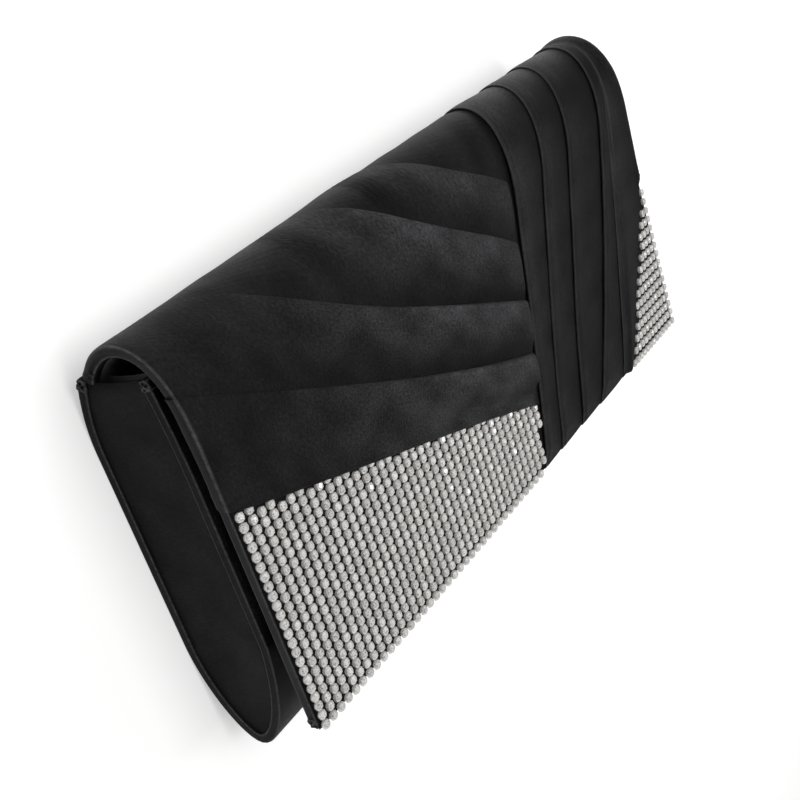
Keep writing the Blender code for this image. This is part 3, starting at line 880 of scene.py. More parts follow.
def tuck_crest(number, x, s):
    """Light painted on a tuck: a painted highlight under its own fold, highest near the band, painted
    shade low over the fold below, and a painted shadow of the band, a little under nothing, along the
    band."""
    above = TUCK_FOLDS[number + 1](x) if number + 1 < len(TUCK_FOLDS) else MOUTH_S + 0 * x
    below = TUCK_FOLDS[number](x)
    share = np.clip((s - below) / np.maximum(above - below, 4 * MM), 0, 1)
    if number == 0:
        share = 0.62 + 0.38 * share
    towards_band = eased((x + 118 * MM) / (118 * MM))
    top = 0.12 + (TUCK_PAINTED_LIGHT[number] - 0.12) * towards_band
    bottom = 0.15 - 0.1 * towards_band
    # painted shadow cast by the band's raised fold
    clear_of_band_shadow = eased((band_left(s) - x - 2.2 * MM) / (5 * MM))
    open_painted_light = bottom + (top - bottom) * eased(share * 1.15)
    return open_painted_light * (0.02 + 0.98 * clear_of_band_shadow) - 0.06 * (1 - clear_of_band_shadow)


def hem_over_crystals(x, s, lift):
    """Raises a tuck's lower edge over the crystals' upper row, and turns it under."""
    s_end, x_end = s[:, -1:], x[:, -1:]
    up = s - s_end
    inner = eased((x_end + HALF + 1.0 * MM) / (5 * MM))
    beside = eased((band_left(s_end) - x_end + 0.5 * MM) / (3 * MM))
    proud = 0.45 * MM + (0.3 * MM + 1.15 * MM * inner) * beside
    rise = eased(1 - up / (10 * MM)) ** 1.3
    lift = lift * (1 - rise) + proud * rise
    turn = np.linspace(0, math.pi, 8)[1:]
    radius = 0.2 * MM + 0.3 * MM * inner
    back = np.linspace(0, 5 * MM, 6)[1:]
    s_more = np.concatenate([s_end - radius * np.sin(turn), s_end + back], -1)
    low = proud - 2 * radius
    l_more = np.concatenate([proud - radius * (1 - np.cos(turn)),
                             low + (0.3 * MM - low) * eased(back / (5 * MM))], -1)
    x_more = np.broadcast_to(x_end, s_more.shape)
    return tuple(np.concatenate(pair, -1) for pair in ((x, x_more), (s, s_more), (lift, l_more)))


def flap_bend(item):
    """Puts a flap piece's place into its mesh."""
    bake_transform(item)


def mouth_bend(item):
    """Puts a piece of the mouth's fold's place into its mesh."""
    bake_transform(item)


def make_flap_satin():
    """The flap's plain satin base, turned in round the board's ends and free edge."""
    turn_s = CORE - math.pi * CORE - TURN
    s = np.r_[between(turn_s, CORE, 0.25 * MM)[:-1], between(CORE, MOUTH_S + 2 * MM, 2.0 * MM)]
    x = across(-TURNED_END, TURNED_END, 3 * MM)
    grid_x, grid_s = np.meshgrid(x, s)
    lift = ripple(grid_x, grid_s, 0.08 * MM, 35 * MM, 5)
    points = covered(FLAP, grid_x, grid_s, lift)
    item = cloth_mesh("flap_satin", points, np.stack([grid_s, grid_x], -1), satin(),
                      # painted shade round the board's edges
                      edge_wear(FLAP, grid_x, grid_s), crest_of(grid_x, grid_s))
    thicken(item, 0.3 * MM)
    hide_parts("flap_cover", "spine_cover")
    flap_bend(item)


def make_tucked_panel():
    """The five long tucks left of the band."""
    tucks = [long_tuck(number, satin()) for number in range(len(TUCK_FOLDS))]
    for item in tucks:
        thicken(item, 0.22 * MM)
    panel = join("tucked_panel", tucks)
    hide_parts("pleated_panel")
    flap_bend(panel)


def make_pleated_band():
    """The five steep pleats that cross the flap."""
    pleats = [band_pleat(number, satin()) for number in range(len(BAND_FOLDS))]
    for item in pleats:
        thicken(item, 0.22 * MM)
    band = join("pleated_satin_band", pleats)
    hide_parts("pleated_band")
    flap_bend(band)


# ---------------------------------------------------------------- crystals

def field_places(side):
    """Centres of the crystals of one field, as x and s on the flap. On the left the stones
    touch up the flap, and on the right they touch along it."""
    sizes = bpy.context.scene.evening_bag_sizes
    tight, loose = sizes.crystal_pitch, sizes.crystal_pitch + sizes.crystal_gap
    reach = sizes.crystal_pitch / 2
    places = []
    if side == "left":
        for x in np.arange(-HALF + 2.3 * MM, 20 * MM, loose):
            for s in np.arange(0.6 * MM, 80 * MM, tight):
                if s < TUCK_FOLDS[0](x) - 0.5 * reach and x < band_left(s) - reach * 1.05:
                    places.append((x, s))
    else:
        for s in np.arange(0.8 * MM, 64 * MM, loose):
            for x in np.arange(HALF - 1.0 * MM, 80 * MM, -tight):
                if x > band_end_x(s) + reach * 0.8:
                    places.append((x, s))
    return np.array(places)


def stone_model():
    """One round stone: a plated cup with four claws on its diagonals, and a cut crystal with a
    table."""
    sizes = bpy.context.scene.evening_bag_sizes
    radius = sizes.crystal_size / 2
    height = sizes.crystal_height
    bpy.ops.object.select_all(action="DESELECT")
    bpy.ops.mesh.primitive_cylinder_add(vertices=14, radius=radius, depth=height * 0.74,
                                        end_fill_type="NGON", location=(0, 0, height * 0.37))
    cup = bpy.context.object
    edit_top(cup, [("inset", 0.13 * radius), ("move", -0.4 * height)])
    claws = []
    for side_x in (-1, 1):
        for side_y in (-1, 1):
            bpy.ops.object.select_all(action="DESELECT")
            place = (side_x * radius * 0.7, side_y * radius * 0.7, height * 0.42)
            bpy.ops.mesh.primitive_cube_add(size=1, location=place)
            claw = bpy.context.object
            claw.scale = (radius * 0.2, radius * 0.17, height * 0.64)
            settle(claw)
            edit_side(claw, side_x, 0.6)
            claws.append(claw)
    cup = join("cup", [cup, *claws])
    bpy.ops.object.select_all(action="DESELECT")
    bpy.ops.mesh.primitive_cylinder_add(vertices=8, radius=radius * 0.73, depth=height * 0.3,
                                        end_fill_type="NGON", location=(0, 0, height * 0.5))
    stone = bpy.context.object
    edit_top(stone, [("extrude", 0.27 * height), ("scale", 0.7)])
    for item in (cup, stone):
        settle(item)
    return cup, stone


def edit_side(item, side, amount):
    """Narrows a claw towards its outer end."""
    select_only(item)
    bpy.ops.object.mode_set(mode="EDIT")
    shape = bmesh.from_edit_mesh(item.data)
    for face in shape.faces:
        face.select_set(face.normal.x * side > 0.9)
    bmesh.update_edit_mesh(item.data)
    bpy.ops.transform.resize(value=(1, amount, amount))
    bpy.ops.object.mode_set(mode="OBJECT")


def edit_top(item, steps):
    """Shapes the top face of an upright primitive, and opens its hidden bottom."""
    select_only(item)
    bpy.ops.object.mode_set(mode="EDIT")
    shape = bmesh.from_edit_mesh(item.data)
    high = max(v.co.z for v in shape.verts)
    low = min(v.co.z for v in shape.verts)
    for face in shape.faces:
        level = face.calc_center_median().z
        face.select_set(level > high - 1e-7 and abs(face.normal.z) > 0.9)
    bmesh.update_edit_mesh(item.data)
    for kind, amount in steps:
        if kind == "inset":
            bpy.ops.mesh.inset(thickness=amount)
        elif kind == "extrude":
            bpy.ops.mesh.extrude_region_move(TRANSFORM_OT_translate={"value": (0, 0, amount)})
        elif kind == "move":
            bpy.ops.transform.translate(value=(0, 0, amount))
        else:
            bpy.ops.transform.resize(value=(amount, amount, 1))
    bpy.ops.mesh.select_all(action="DESELECT")
    shape = bmesh.from_edit_mesh(item.data)
    for face in shape.faces:
        face.select_set(face.calc_center_median().z < low + 1e-7 and face.normal.z < -0.9)
    bmesh.update_edit_mesh(item.data)
    bpy.ops.mesh.delete(type="FACE")
    bpy.ops.object.mode_set(mode="OBJECT")
    item.select_set(False)


def set_copies(name, model, centres, normals, turns, tones, finish):
    """Copies of a model at each place, square to the surface there, joined into one piece."""
    copies = []
    for centre, normal, turn, tone in zip(centres, normals, turns, tones):
        mesh = model.data.copy()
        layer = mesh.attributes.new("tone", "FLOAT", "POINT")
        layer.data.foreach_set("value", np.full(len(mesh.vertices), tone, np.float32))
        item = bpy.data.objects.new(name, mesh)
        bpy.context.scene.collection.objects.link(item)
        up = Vector(normal)
        along = up.cross(Vector((1, 0, 0))).normalized().cross(up)
        frame_here = Matrix((along, up.cross(along), up)).transposed().to_4x4()
        item.matrix_world = Matrix.Translation(centre) @ frame_here @ Matrix.Rotation(turn, 4, "Z")
        copies.append(item)
    bpy.context.view_layer.update()
    joined = join(name, copies)
    settle(joined)
    joined.data.materials.append(finish)
    return joined


def flap_normals(s):
    """The directions in which stones face at distances up the flap."""
    normal = FLAP.at(s)[2]
    return np.column_stack([np.zeros(len(normal)), normal])


def net_piece(side):
    """The net that carries a field, cut to the field's outline."""
    edge = 0.7 * MM
    if side == "left":
        tall, slope = 72 * MM, 0.342      # at the bag's end, and how fast it gets lower from there
        s = between(0.25 * MM, 73 * MM, 1.5 * MM)
        left = np.full_like(s, -HALF + edge)
        right = np.minimum(band_left(s) + 2 * MM, (tall - s) / slope - HALF + 3 * MM)
    else:
        tall = 60 * MM
        s = between(0.25 * MM, tall, 1.5 * MM)
        left = np.minimum(band_end_x(s) - 1.5 * MM, HALF - edge - 0.6 * MM)
        right = np.full_like(s, HALF - 0.3 * MM)
    share = np.linspace(0, 1, 60)
    x = left[:, None] + np.maximum(right - left, 0.5 * MM)[:, None] * share
    rows = np.broadcast_to(s[:, None], x.shape)
    points = covered(FLAP, x, rows, 0.42 * MM)
    item = cloth_mesh(f"net_{side}", points, np.stack([rows, x], -1), net_cloth())
    thicken(item, 0.15 * MM)
    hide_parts(f"crystal_net_{side}")
    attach(item, "flap")


def make_crystals():
    """The two nets with their cups and stones, each stone set a little unevenly."""
    cup, stone = stone_model()
    silver = plated("cup_silver")
    rng = np.random.default_rng(7)
    for side in ("left", "right"):
        net_piece(side)
        places = field_places(side)
        count = len(places)
        level = 0.4 * MM
        centres = covered(FLAP, places[:, 0], places[:, 1], level)
        centres = centres + rng.normal(0, 0.03 * MM, centres.shape)
        normals = flap_normals(places[:, 1]) + rng.normal(0, 0.035, (count, 3))
        normals /= np.linalg.norm(normals, axis=1)[:, None]
        square = rng.normal(0.0 if side == "left" else math.pi / 2, 0.05, count)
        turns = rng.uniform(0, 2 * math.pi, count)
        tones = rng.uniform(0, 1, count)
        cups = set_copies(f"crystal_cups_{side}", cup, centres, normals, square, tones, silver)
        stones = set_copies(f"crystal_stones_{side}", stone, centres, normals, turns, tones,
                            crystal_glass())
        for item in (cups, stones):
            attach(item, "flap")
        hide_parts(f"crystals_{side}")
    for item in (cup, stone):
        bpy.data.objects.remove(item, do_unlink=True)


# -------------------------------------------------------------- body pieces

def make_body_satin():
    """One satin wrap over the front panel, the bottom and the back panel. It lies flat on the back
    panel, and painted light makes the front, which lies in shade under the flap, brighter."""
    reach = math.pi * CORE + TURN
    low, high = CORE - reach, BODY.length - CORE + reach
    s = np.r_[between(low, CORE, 0.25 * MM)[:-1], between(CORE, BODY.length - CORE, 2.0 * MM)[:-1],
              between(BODY.length - CORE, high, 0.25 * MM)]
    x = across(-(HALF - CORE + reach), HALF - CORE + reach, 3 * MM)
    grid_x, grid_s = np.meshgrid(x, s)
    lift = ripple(grid_x, grid_s, 0.14 * MM, 40 * MM, 3)
    crown = np.sin(math.pi * np.clip(grid_s / BODY.length, 0, 1)) * np.cos(
        0.5 * math.pi * np.clip(grid_x / HALF, -1, 1))
    lift = lift + 0.25 * MM * crown
    lift = np.where((grid_s > 30 * MM) & (grid_s < 80 * MM), np.minimum(lift, 0), lift)
    points = covered(BODY, grid_x, grid_s, lift)
    points[..., 2] = np.maximum(points[..., 2], 0)
    # painted light: the front, in shade under the flap, painted brighter
    front = 0.16 + 0.6 * eased((grid_s - BODY.length + 85 * MM) / (12 * MM))
    # the body's satin darkened as painted shade
    item = cloth_mesh("body_satin", points, np.stack([grid_s, grid_x], -1), shaded_satin(),
                      edge_wear(BODY, grid_x, grid_s), crest_of(grid_x, grid_s, front))
    thicken(item, 0.3 * MM)
    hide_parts("body_cover")
    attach(item, "body")


def inner_profile(depth):
    """The two sides of the body's inside, back and front, from the bottom to the mouth. depth is
    one distance, or three: at the back's top, along the back and bottom, and at the front."""
    if np.ndim(depth):
        share = BODY.s / BODY.length
        depth = np.interp(share, [0, 0.16, 0.52, 0.66, 1],
                          [depth[0], depth[1], depth[1], depth[2], depth[2]])[:, None]
    inner = BODY.p + np.column_stack([BODY.t[:, 1], -BODY.t[:, 0]]) * depth
    bottom = int(np.argmin(inner[:, 0]))
    back = inner[:bottom + 1][::-1]
    front = inner[bottom:]
    share = np.linspace(0, 1, 46) ** 1.25
    sides = []
    for side in (back, front):
        run = np.r_[0, np.cumsum(np.linalg.norm(np.diff(side, axis=0), axis=1))]
        sides.append(np.column_stack([np.interp(share * run[-1], run, side[:, i]) for i in (0, 1)]))
    return sides


def end_panel(name, depth, x_place, finish, sag):
    """A soft panel across the end of the body, from the back to the front, that sags inwards."""
    back, front = inner_profile(depth)
    share = np.linspace(0, 1, 19)
    grid = back[:, None, :] * (1 - share)[None, :, None] + front[:, None, :] * share[None, :, None]
    rise = np.linspace(0, 1, len(back))[:, None]
    points = np.empty(grid.shape[:2] + (3,))
    points[..., 1:] = grid
    inwards = -np.sign(x_place)
    bulge = np.sin(math.pi * share)[None, :] * np.sin(math.pi * np.clip(rise * 1.05, 0, 1)) ** 0.6
    points[..., 0] = x_place + inwards * sag * bulge
    points[..., 1] -= 0.5 * MM * np.sin(math.pi * share)[None, :] * rise ** 8
    if x_place < 0:
        points = points[:, ::-1]
    uv = np.stack([points[..., 1], points[..., 2]], -1)
    return cloth_mesh(name, points, uv, finish)


def make_gussets():
    """The two satin ends of the body, set in a little from the panels' edges."""
    for side, name in ((-1, "gusset_left"), (1, "gusset_right")):
        x_place = side * (HALF - 0.9 * MM)
        depth = (2.9 * MM, 1.45 * MM, 2.5 * MM)
        # the gussets' satin darkened as painted shade
        panel = end_panel(f"{name}_satin", depth, x_place, shaded_satin(), 0.5 * MM)
        thicken(panel, 0.35 * MM)
        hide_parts(name)
        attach(panel, "body")


def make_linings():
    """The pouch lining, and then the pocket, the flap lining and the fold at the mouth."""
    depth = 4.2 * MM
    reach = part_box("lining_pouch")[1].x
    back, front = inner_profile(depth)
    run = np.vstack([back[::-1], front[1:]])
    steps = np.r_[0, np.cumsum(np.linalg.norm(np.diff(run, axis=0), axis=1))]
    x = between(-reach, reach, 4 * MM)
    points = np.empty((len(run), len(x), 3))
    points[..., 0] = x[None, :]
    points[..., 1:] = run[:, None, :]
    soft = ripple(points[..., 0], steps[:, None] + 0 * points[..., 0], 0.35 * MM, 26 * MM, 12)
    middle = 13.5 * MM - points[..., 2]
    points[..., 2] += np.sign(middle) * np.abs(soft) * (np.abs(middle) > 6 * MM)
    uv = np.stack(np.broadcast_arrays(steps[:, None], x), -1)
    wall = cloth_mesh("wall", points[::-1], uv[::-1], lining_cloth())
    ends = [end_panel(f"end{side}", depth, side * reach, lining_cloth(), 0.3 * MM)
            for side in (-1, 1)]
    pouch = join("pouch_lining", [wall, *ends])
    thicken(pouch, -0.3 * MM)
    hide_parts("lining_pouch")
    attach(pouch, "body")
    make_pocket()
    make_flap_lining()
    make_mouth_fold()


def make_pocket():
    """A flat patch pocket on the lining's back wall, with a hemmed top."""
    low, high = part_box("slip_pocket")
    x = between(low.x, high.x, 2 * MM)
    y = between(low.y, high.y, 1.5 * MM)
    grid_x, grid_y = np.meshgrid(x, y)
    top = (grid_y - low.y) / (high.y - low.y)
    edge = np.minimum(grid_x - low.x, high.x - grid_x) / (high.x - low.x)
    z = low.z + 0.2 * MM + 0.9 * MM * eased(top) * eased(edge * 5)
    z = z + 0.35 * MM * (top > 0.88) + ripple(grid_x, grid_y, 0.12 * MM, 20 * MM, 9)
    points = np.stack([grid_x, grid_y, z], -1)
    item = cloth_mesh("patch_pocket", points, np.stack([grid_y, grid_x], -1), lining_cloth())
    thicken(item, 0.3 * MM)
    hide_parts("slip_pocket")
    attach(item, "body")


def make_flap_lining():
    """The lining of the flap's inner side and of the arch, sewn over the satin's turnings."""
    margin = 2.6 * MM
    s = between(margin, MOUTH_S - 2 * MM, 1.8 * MM)
    x = between(-(HALF - margin), HALF - margin, 3 * MM)
    grid_x, grid_s = np.meshgrid(x, s)
    near = np.minimum(HALF - margin - np.abs(grid_x), grid_s - margin)
    over_turnings = 0.5 * MM * eased(near / (2 * MM)) * (1 - 0.5 * eased((near - 9 * MM) / (8 * MM)))
    depth = 2 * CORE + 0.55 * MM + over_turnings
    depth = depth + ripple(grid_x, grid_s, 0.1 * MM, 24 * MM, 14)
    p, _, n = FLAP.at(grid_s)
    yz = p - n * depth[..., None]
    points = np.concatenate([grid_x[..., None], yz], -1)[:, ::-1]
    uv = np.stack([grid_s, grid_x], -1)[:, ::-1]
    item = cloth_mesh("flap_inner_lining", points, uv, lining_cloth())
    thicken(item, 0.3 * MM)
    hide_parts("flap_lining", "spine_lining")
    flap_bend(item)


def mouth_lines():
    """The satin's outer line and the lining's inner line across the fold at the mouth."""
    y, z = MOUTH
    near, far = (tuple(FLAP.at(MOUTH_S - back)[0]) for back in (6 * MM, 11 * MM))
    outer = Section([
        bezier((y - 6 * MM, z + 1.6 * MM), (y - 3 * MM, z + 2.5 * MM), (y + 0.6 * MM, z + 3 * MM), near),
        straight(near, far),
    ])
    arch, _, arch_out = FLAP.at(MOUTH_S - 8 * MM)
    arch_on, _, arch_on_out = FLAP.at(MOUTH_S - 14 * MM)
    depth = 3.95 * MM
    arch_in = tuple(arch - arch_out * depth)
    start = tuple(inner_profile(4.75 * MM)[0][-4])
    inner = Section([
        bezier(start, (y - 4 * MM, z + 5 * MM), (y - 3 * MM, z + 5.6 * MM), arch_in),
        straight(arch_in, tuple(arch_on - arch_on_out * depth)),
    ])
    return outer, inner


def make_mouth_fold():
    """The cloth that joins the back panel to the arch: satin outside and lining inside."""
    outer, inner = mouth_lines()
    for name, line, reach, finish, slot, lift in (
            ("mouth_binding", outer, HALF - 2.2 * MM, satin(), "satin", -1),
            ("mouth_lining", inner, HALF - 5.5 * MM, lining_cloth(), "lining", 1)):
        s = between(0, line.length, 0.6 * MM)
        x = between(-reach, reach, 4 * MM)
        grid_x, grid_s = np.meshgrid(x, s)
        p, _, n = line.at(grid_s)
        off = ripple(grid_x, grid_s, 0.08 * MM, 22 * MM, 31) + (0.3 * MM if lift < 0 else 0)
        yz = p + lift * n * off[..., None]
        points = np.concatenate([grid_x[..., None], yz], -1)
        uv = np.stack([grid_s, grid_x], -1)
        if lift < 0:
            points, uv = points[:, ::-1], uv[:, ::-1]
        item = cloth_mesh(name, points, uv, finish)
        thicken(item, 0.25 * MM)
        mouth_bend(item)


# ------------------------------------------------- stiffening, foam and snap

def dress(node_name, finish):
    """Gives a part that is already the right shape its finish."""
    for place in frame["nodes"][node_name].material_slots:
        place.material = finish


def make_stiffening():
    """Boards in the panels, and the foam layer under the flap's satin."""
    for name in ("back_board", "keel_stay", "front_board", "flap_board"):
        dress(name, board_card())
    margin = 2.2 * MM
    s = between(margin, MOUTH_S - 3 * MM, 2 * MM)
    x = between(-(HALF - 2.0 * MM), HALF - 2.0 * MM, 4 * MM)
    grid_x, grid_s = np.meshgrid(x, s)
    near = np.minimum(HALF - 2 * MM - np.abs(grid_x), grid_s - margin)
    deeper_edge = 0.3 * MM * (1 - eased(near / (3 * MM)))
    uneven = np.abs(ripple(grid_x, grid_s, 0.06 * MM, 12 * MM, 51))
    p, _, n = FLAP.at(grid_s)
    yz = p - n * (0.62 * MM + deeper_edge + uneven)[..., None]
    points = np.concatenate([grid_x[..., None], yz], -1)
    foam = cloth_mesh("flap_padding", points, np.stack([grid_s, grid_x], -1), foam_sheet())
    thicken(foam, 0.75 * MM)
    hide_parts("flap_foam", "spine_foam")
    flap_bend(foam)


def disc_face(item, upper):
    """Selects the flat top or bottom face of an upright disc, and leaves edit mode on."""
    select_only(item)
    bpy.ops.object.mode_set(mode="EDIT")
    shape = bmesh.from_edit_mesh(item.data)
    levels = [v.co.z for v in shape.verts]
    level = max(levels) if upper else min(levels)
    for face in shape.faces:
        face.select_set(abs(face.calc_center_median().z - level) < 1e-6)
    bmesh.update_edit_mesh(item.data)


def finish_metal(item, width):
    """Rounds a metal piece's edges, shades it and puts its place into its mesh."""
    bpy.ops.object.mode_set(mode="OBJECT")
    mod = item.modifiers.new("edges", "BEVEL")
    mod.width = width
    mod.segments = 3
    mod.limit_method = "ANGLE"
    mod.angle_limit = math.radians(35)
    apply_all(item)
    select_only(item)
    bpy.ops.object.shade_smooth_by_angle(angle=math.radians(40))
    settle(item)


def upright_disc(name, radius, height, centre):
    """A plain disc, which the next steps shape."""
    bpy.ops.object.select_all(action="DESELECT")
    bpy.ops.mesh.primitive_cylinder_add(vertices=64, radius=radius, depth=height, location=centre)
    disc = bpy.context.object
    disc.name = disc.data.name = name
    return disc


def inset(thickness, rise=0.0):
    """Insets the selected face, and then moves it up or down."""
    bpy.ops.mesh.inset(thickness=thickness)
    if rise:
        bpy.ops.transform.translate(value=(0, 0, rise))


def extrude(rise):
    """Extrudes the selected face up or down."""
    bpy.ops.mesh.extrude_region_move(TRANSFORM_OT_translate={"value": (0, 0, rise)})


def snap_socket():
    """A dished disc with a raised ring round the hole for the stud."""
    low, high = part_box("socket_shell")
    radius, tall = (high.x - low.x) / 2, high.z - low.z
    rim, dish, ring, hole = 1.1 * MM, 2.6 * MM, 0.35 * MM, 3.0 * MM
    socket = upright_disc("snap_socket", radius, tall, (low + high) / 2)
    disc_face(socket, True)
    inset(rim, -0.22 * MM)
    inset(dish)
    inset(ring, 0.2 * MM)
    inset(radius - rim - dish - ring - hole)
    extrude(-(tall - 0.4 * MM))
    finish_metal(socket, 0.16 * MM)
    return socket


def snap_stud():
    """A thin plate with a short tapered post."""
    low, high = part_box("stud")
    centre = (low + high) / 2
    radius = (high.x - low.x) / 2
    plate, rim, post, shoulder = 0.7 * MM, 0.9 * MM, 2.6 * MM, 0.6 * MM
    drop = high.z - plate - low.z
    stud = upright_disc("snap_stud", radius, plate, (centre.x, centre.y, high.z - plate / 2))
    disc_face(stud, False)
    inset(rim, 0.15 * MM)
    inset(radius - rim - post, -0.1 * MM)
    inset(shoulder)
    extrude(-drop * 0.72)
    extrude(-drop * 0.23)
    bpy.ops.transform.resize(value=(0.8, 0.8, 1))
    finish_metal(stud, 0.12 * MM)
    return stud


def make_snap():
    """Magnetic snap: a dished socket on the front panel and a stud under the flap."""
    socket, stud = snap_socket(), snap_stud()
    for item, node_name, body in ((socket, "socket_shell", "body"), (stud, "stud", "flap")):
        item.data.materials.append(plated("snap_plating"))
        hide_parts(node_name)
        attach(item, body)
    dress("socket_magnet", magnet_ferrite())
    for name in ("socket_prongs", "socket_washer", "stud_washer"):
        dress(name, plated("snap_plating"))


# -------------------------------------------------------------------- stage

def softbox(name, place, aim, size, power):
    """A rectangular light at a place, turned to its aim."""
    lamp = bpy.data.lights.new(name, "AREA")
    lamp.shape = "RECTANGLE"
    lamp.size, lamp.size_y = size
    lamp.energy = power
    item = bpy.data.objects.new(name, lamp)
    bpy.context.scene.collection.objects.link(item)
    item.location = place
    item.rotation_euler = (Vector(aim) - Vector(place)).to_track_quat("-Z", "Y").to_euler()


def make_floor():
    """A wide sheet of pale paper under the bag."""
    bpy.ops.object.select_all(action="DESELECT")
    bpy.ops.mesh.primitive_plane_add(size=6, location=(0, 0, 0))
    floor = bpy.context.object
    floor.name = floor.data.name = "studio_floor"
    select_only(floor)
    bpy.ops.object.mode_set(mode="EDIT")
    bpy.ops.mesh.subdivide(number_cuts=3)
    bpy.ops.object.mode_set(mode="OBJECT")
    floor.data.materials.append(studio_paper())


def make_world():
    """Dim light from all round."""
    world = bpy.data.worlds.new("studio")
    world.use_nodes = True
    background = world.node_tree.nodes["Background"]
    background.inputs["Color"].default_value = (1.0, 0.99, 0.97, 1)
    background.inputs["Strength"].default_value = 0.2
    bpy.context.scene.world = world


def make_camera():
    """The camera, high at the bag's left end, and how the picture's tones are shown."""
    scene = bpy.context.scene
    lens = bpy.data.cameras.new("camera")
    lens.lens = 57.4
    lens.sensor_width = 36
    lens.clip_start = 0.01
    lens.clip_end = 20
    camera = bpy.data.objects.new("camera", lens)
    scene.collection.objects.link(camera)
    camera.location = (-HALF - 184.5 * MM, EDGE_Y + 209.9 * MM, FLAP_Z + 232.2 * MM)
    camera.rotation_euler = tuple(math.radians(angle) for angle in (-0.276, -52.261, -29.356))
    scene.camera = camera
    scene.view_settings.view_transform = "Standard"
    scene.view_settings.look = "None"


def make_stage():
    """A glowing floor, a dim room, four softboxes and the camera."""
    make_floor()
    make_world()
    softbox("overhead_softbox", (-0.1, 0.35, 1.05), (0, 0, 0.02), (0.9, 0.7), 7.6)
    softbox("side_softbox", (-1.0, -0.05, 0.3), (-0.1, 0, 0.02), (0.6, 0.5), 0.15)
    softbox("back_softbox", (0.25, 0.9, 0.55), (0, 0.02, 0.04), (1.2, 0.5), 1.0)
    softbox("end_softbox", (0.41, -0.14, 0.43), (0.04, 0, 0.04), (0.24, 0.2), 0.8)
    make_camera()


# ------------------------------------------------------------------- add-on

def length(name, about, default_mm, low_mm, high_mm):
    """A length that the user can change."""
    return bpy.props.FloatProperty(name=name, description=about, default=default_mm * MM,
                                   min=low_mm * MM, max=high_mm * MM, precision=5,
                                   unit="LENGTH", subtype="DISTANCE")


def colour(name, about, default):
    """A colour that the user can change."""
    return bpy.props.FloatVectorProperty(name=name, description=about, default=default, size=3,
                                         min=0.0, max=1.0, subtype="COLOR")


class EveningBagSizes(bpy.types.PropertyGroup):
    """Sizes of the folds and the crystals."""
    pleat_rise: length("Pleat rise", "How far a pleat of the band stands up at its fold", 0.75, 0.3, 2)
    tuck_rise: length("Tuck rise", "How far the long tucks puff up beside the band", 1.0, 0.2, 1.5)
    crystal_size: length("Crystal size", "Width of one crystal in its cup", 2.68, 2, 3)
    crystal_height: length("Crystal height", "Height of one crystal in its cup", 1.35, 1, 2.1)
    crystal_pitch: length("Crystal pitch", "Distance between crystals that touch", 3.09, 3, 4)
    crystal_gap: length("Crystal gap", "Extra distance between neighbouring rows", 0.61, 0, 2)


class EveningBagColours(bpy.types.PropertyGroup):
    """Colours of the cloth, the crystals and the stage."""
    satin: colour("Satin", "Colour of the outer satin", (0.0052, 0.0052, 0.0055))
    lining: colour("Lining", "Colour of the lining", (0.02, 0.02, 0.021))
    crystal: colour("Crystal", "Colour of the crystals", (0.97, 0.96, 0.94))
    floor: colour("Floor", "Colour of the studio floor", (0.8, 0.8, 0.8))


class EVENINGBAG_OT_flap_satin(bpy.types.Operator):
    """Covers the flap and the arch with satin"""
    bl_idname = "evening_bag.flap_satin"
    bl_label = "Flap satin"

    def execute(self, context):
        make_flap_satin()
        return {"FINISHED"}


class EVENINGBAG_OT_tucked_panel(bpy.types.Operator):
    """Lays the fanned tucks over the left of the flap"""
    bl_idname = "evening_bag.tucked_panel"
    bl_label = "Tucked panel"

    def execute(self, context):
        make_tucked_panel()
        return {"FINISHED"}


class EVENINGBAG_OT_pleated_band(bpy.types.Operator):
    """Lays the steep pleated band over the flap"""
    bl_idname = "evening_bag.pleated_band"
    bl_label = "Pleated band"

    def execute(self, context):
        make_pleated_band()
        return {"FINISHED"}


class EVENINGBAG_OT_crystals(bpy.types.Operator):
    """Sets the two fields of crystals on their net"""
    bl_idname = "evening_bag.crystals"
    bl_label = "Crystals"

    def execute(self, context):
        make_crystals()
        return {"FINISHED"}


class EVENINGBAG_OT_body_satin(bpy.types.Operator):
    """Wraps the body in satin, from the front round the bottom to the back"""
    bl_idname = "evening_bag.body_satin"
    bl_label = "Body satin"

    def execute(self, context):
        make_body_satin()
        return {"FINISHED"}


class EVENINGBAG_OT_gussets(bpy.types.Operator):
    """Sews the soft gussets into both ends of the body"""
    bl_idname = "evening_bag.gussets"
    bl_label = "Gussets"

    def execute(self, context):
        make_gussets()
        return {"FINISHED"}


class EVENINGBAG_OT_linings(bpy.types.Operator):
    """Makes the pouch lining, its pocket, the flap lining and the fold at the mouth"""
    bl_idname = "evening_bag.linings"
    bl_label = "Linings"

    def execute(self, context):
        make_linings()
        return {"FINISHED"}


class EVENINGBAG_OT_stiffening(bpy.types.Operator):
    """Finishes the boards and makes the foam under the flap's satin"""
    bl_idname = "evening_bag.stiffening"
    bl_label = "Boards and foam"

    def execute(self, context):
        make_stiffening()
        return {"FINISHED"}


class EVENINGBAG_OT_snap(bpy.types.Operator):
    """Models the magnetic snap"""
    bl_idname = "evening_bag.snap"
    bl_label = "Magnetic snap"

    def execute(self, context):
        make_snap()
        return {"FINISHED"}


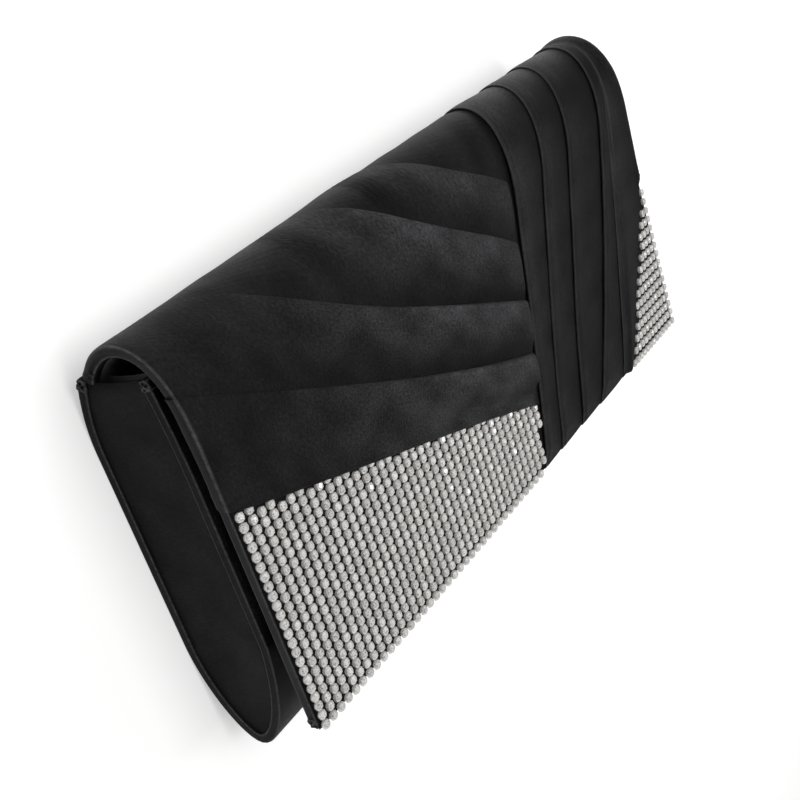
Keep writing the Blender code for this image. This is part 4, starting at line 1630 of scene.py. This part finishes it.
class EVENINGBAG_OT_stage(bpy.types.Operator):
    """Makes the floor, the lights and the camera"""
    bl_idname = "evening_bag.stage"
    bl_label = "Stage"

    def execute(self, context):
        make_stage()
        return {"FINISHED"}


OPERATORS = (
    EVENINGBAG_OT_flap_satin,
    EVENINGBAG_OT_tucked_panel,
    EVENINGBAG_OT_pleated_band,
    EVENINGBAG_OT_crystals,
    EVENINGBAG_OT_body_satin,
    EVENINGBAG_OT_gussets,
    EVENINGBAG_OT_linings,
    EVENINGBAG_OT_stiffening,
    EVENINGBAG_OT_snap,
    EVENINGBAG_OT_stage,
)


class EVENINGBAG_PT_panel(bpy.types.Panel):
    """The evening bag's sizes, colours and pieces"""
    bl_label = "Evening bag"
    bl_idname = "EVENINGBAG_PT_panel"
    bl_space_type = "VIEW_3D"
    bl_region_type = "UI"
    bl_category = "Evening bag"

    def draw(self, context):
        for group in (context.scene.evening_bag_sizes, context.scene.evening_bag_colours):
            column = self.layout.column()
            for name in group.__annotations__:
                column.prop(group, name)
        for operator in OPERATORS:
            self.layout.operator(operator.bl_idname)


CLASSES = (EveningBagSizes, EveningBagColours, *OPERATORS, EVENINGBAG_PT_panel)


def register():
    for cls in CLASSES:
        bpy.utils.register_class(cls)
    bpy.types.Scene.evening_bag_sizes = bpy.props.PointerProperty(type=EveningBagSizes)
    bpy.types.Scene.evening_bag_colours = bpy.props.PointerProperty(type=EveningBagColours)


def unregister():
    del bpy.types.Scene.evening_bag_colours
    del bpy.types.Scene.evening_bag_sizes
    for cls in reversed(CLASSES):
        bpy.utils.unregister_class(cls)


def main():
    register()
    bpy.ops.evening_bag.flap_satin()
    bpy.ops.evening_bag.tucked_panel()
    bpy.ops.evening_bag.pleated_band()
    bpy.ops.evening_bag.crystals()
    bpy.ops.evening_bag.body_satin()
    bpy.ops.evening_bag.gussets()
    bpy.ops.evening_bag.linings()
    bpy.ops.evening_bag.stiffening()
    bpy.ops.evening_bag.snap()
    bpy.ops.evening_bag.stage()


if __name__ == "__main__":
    main()
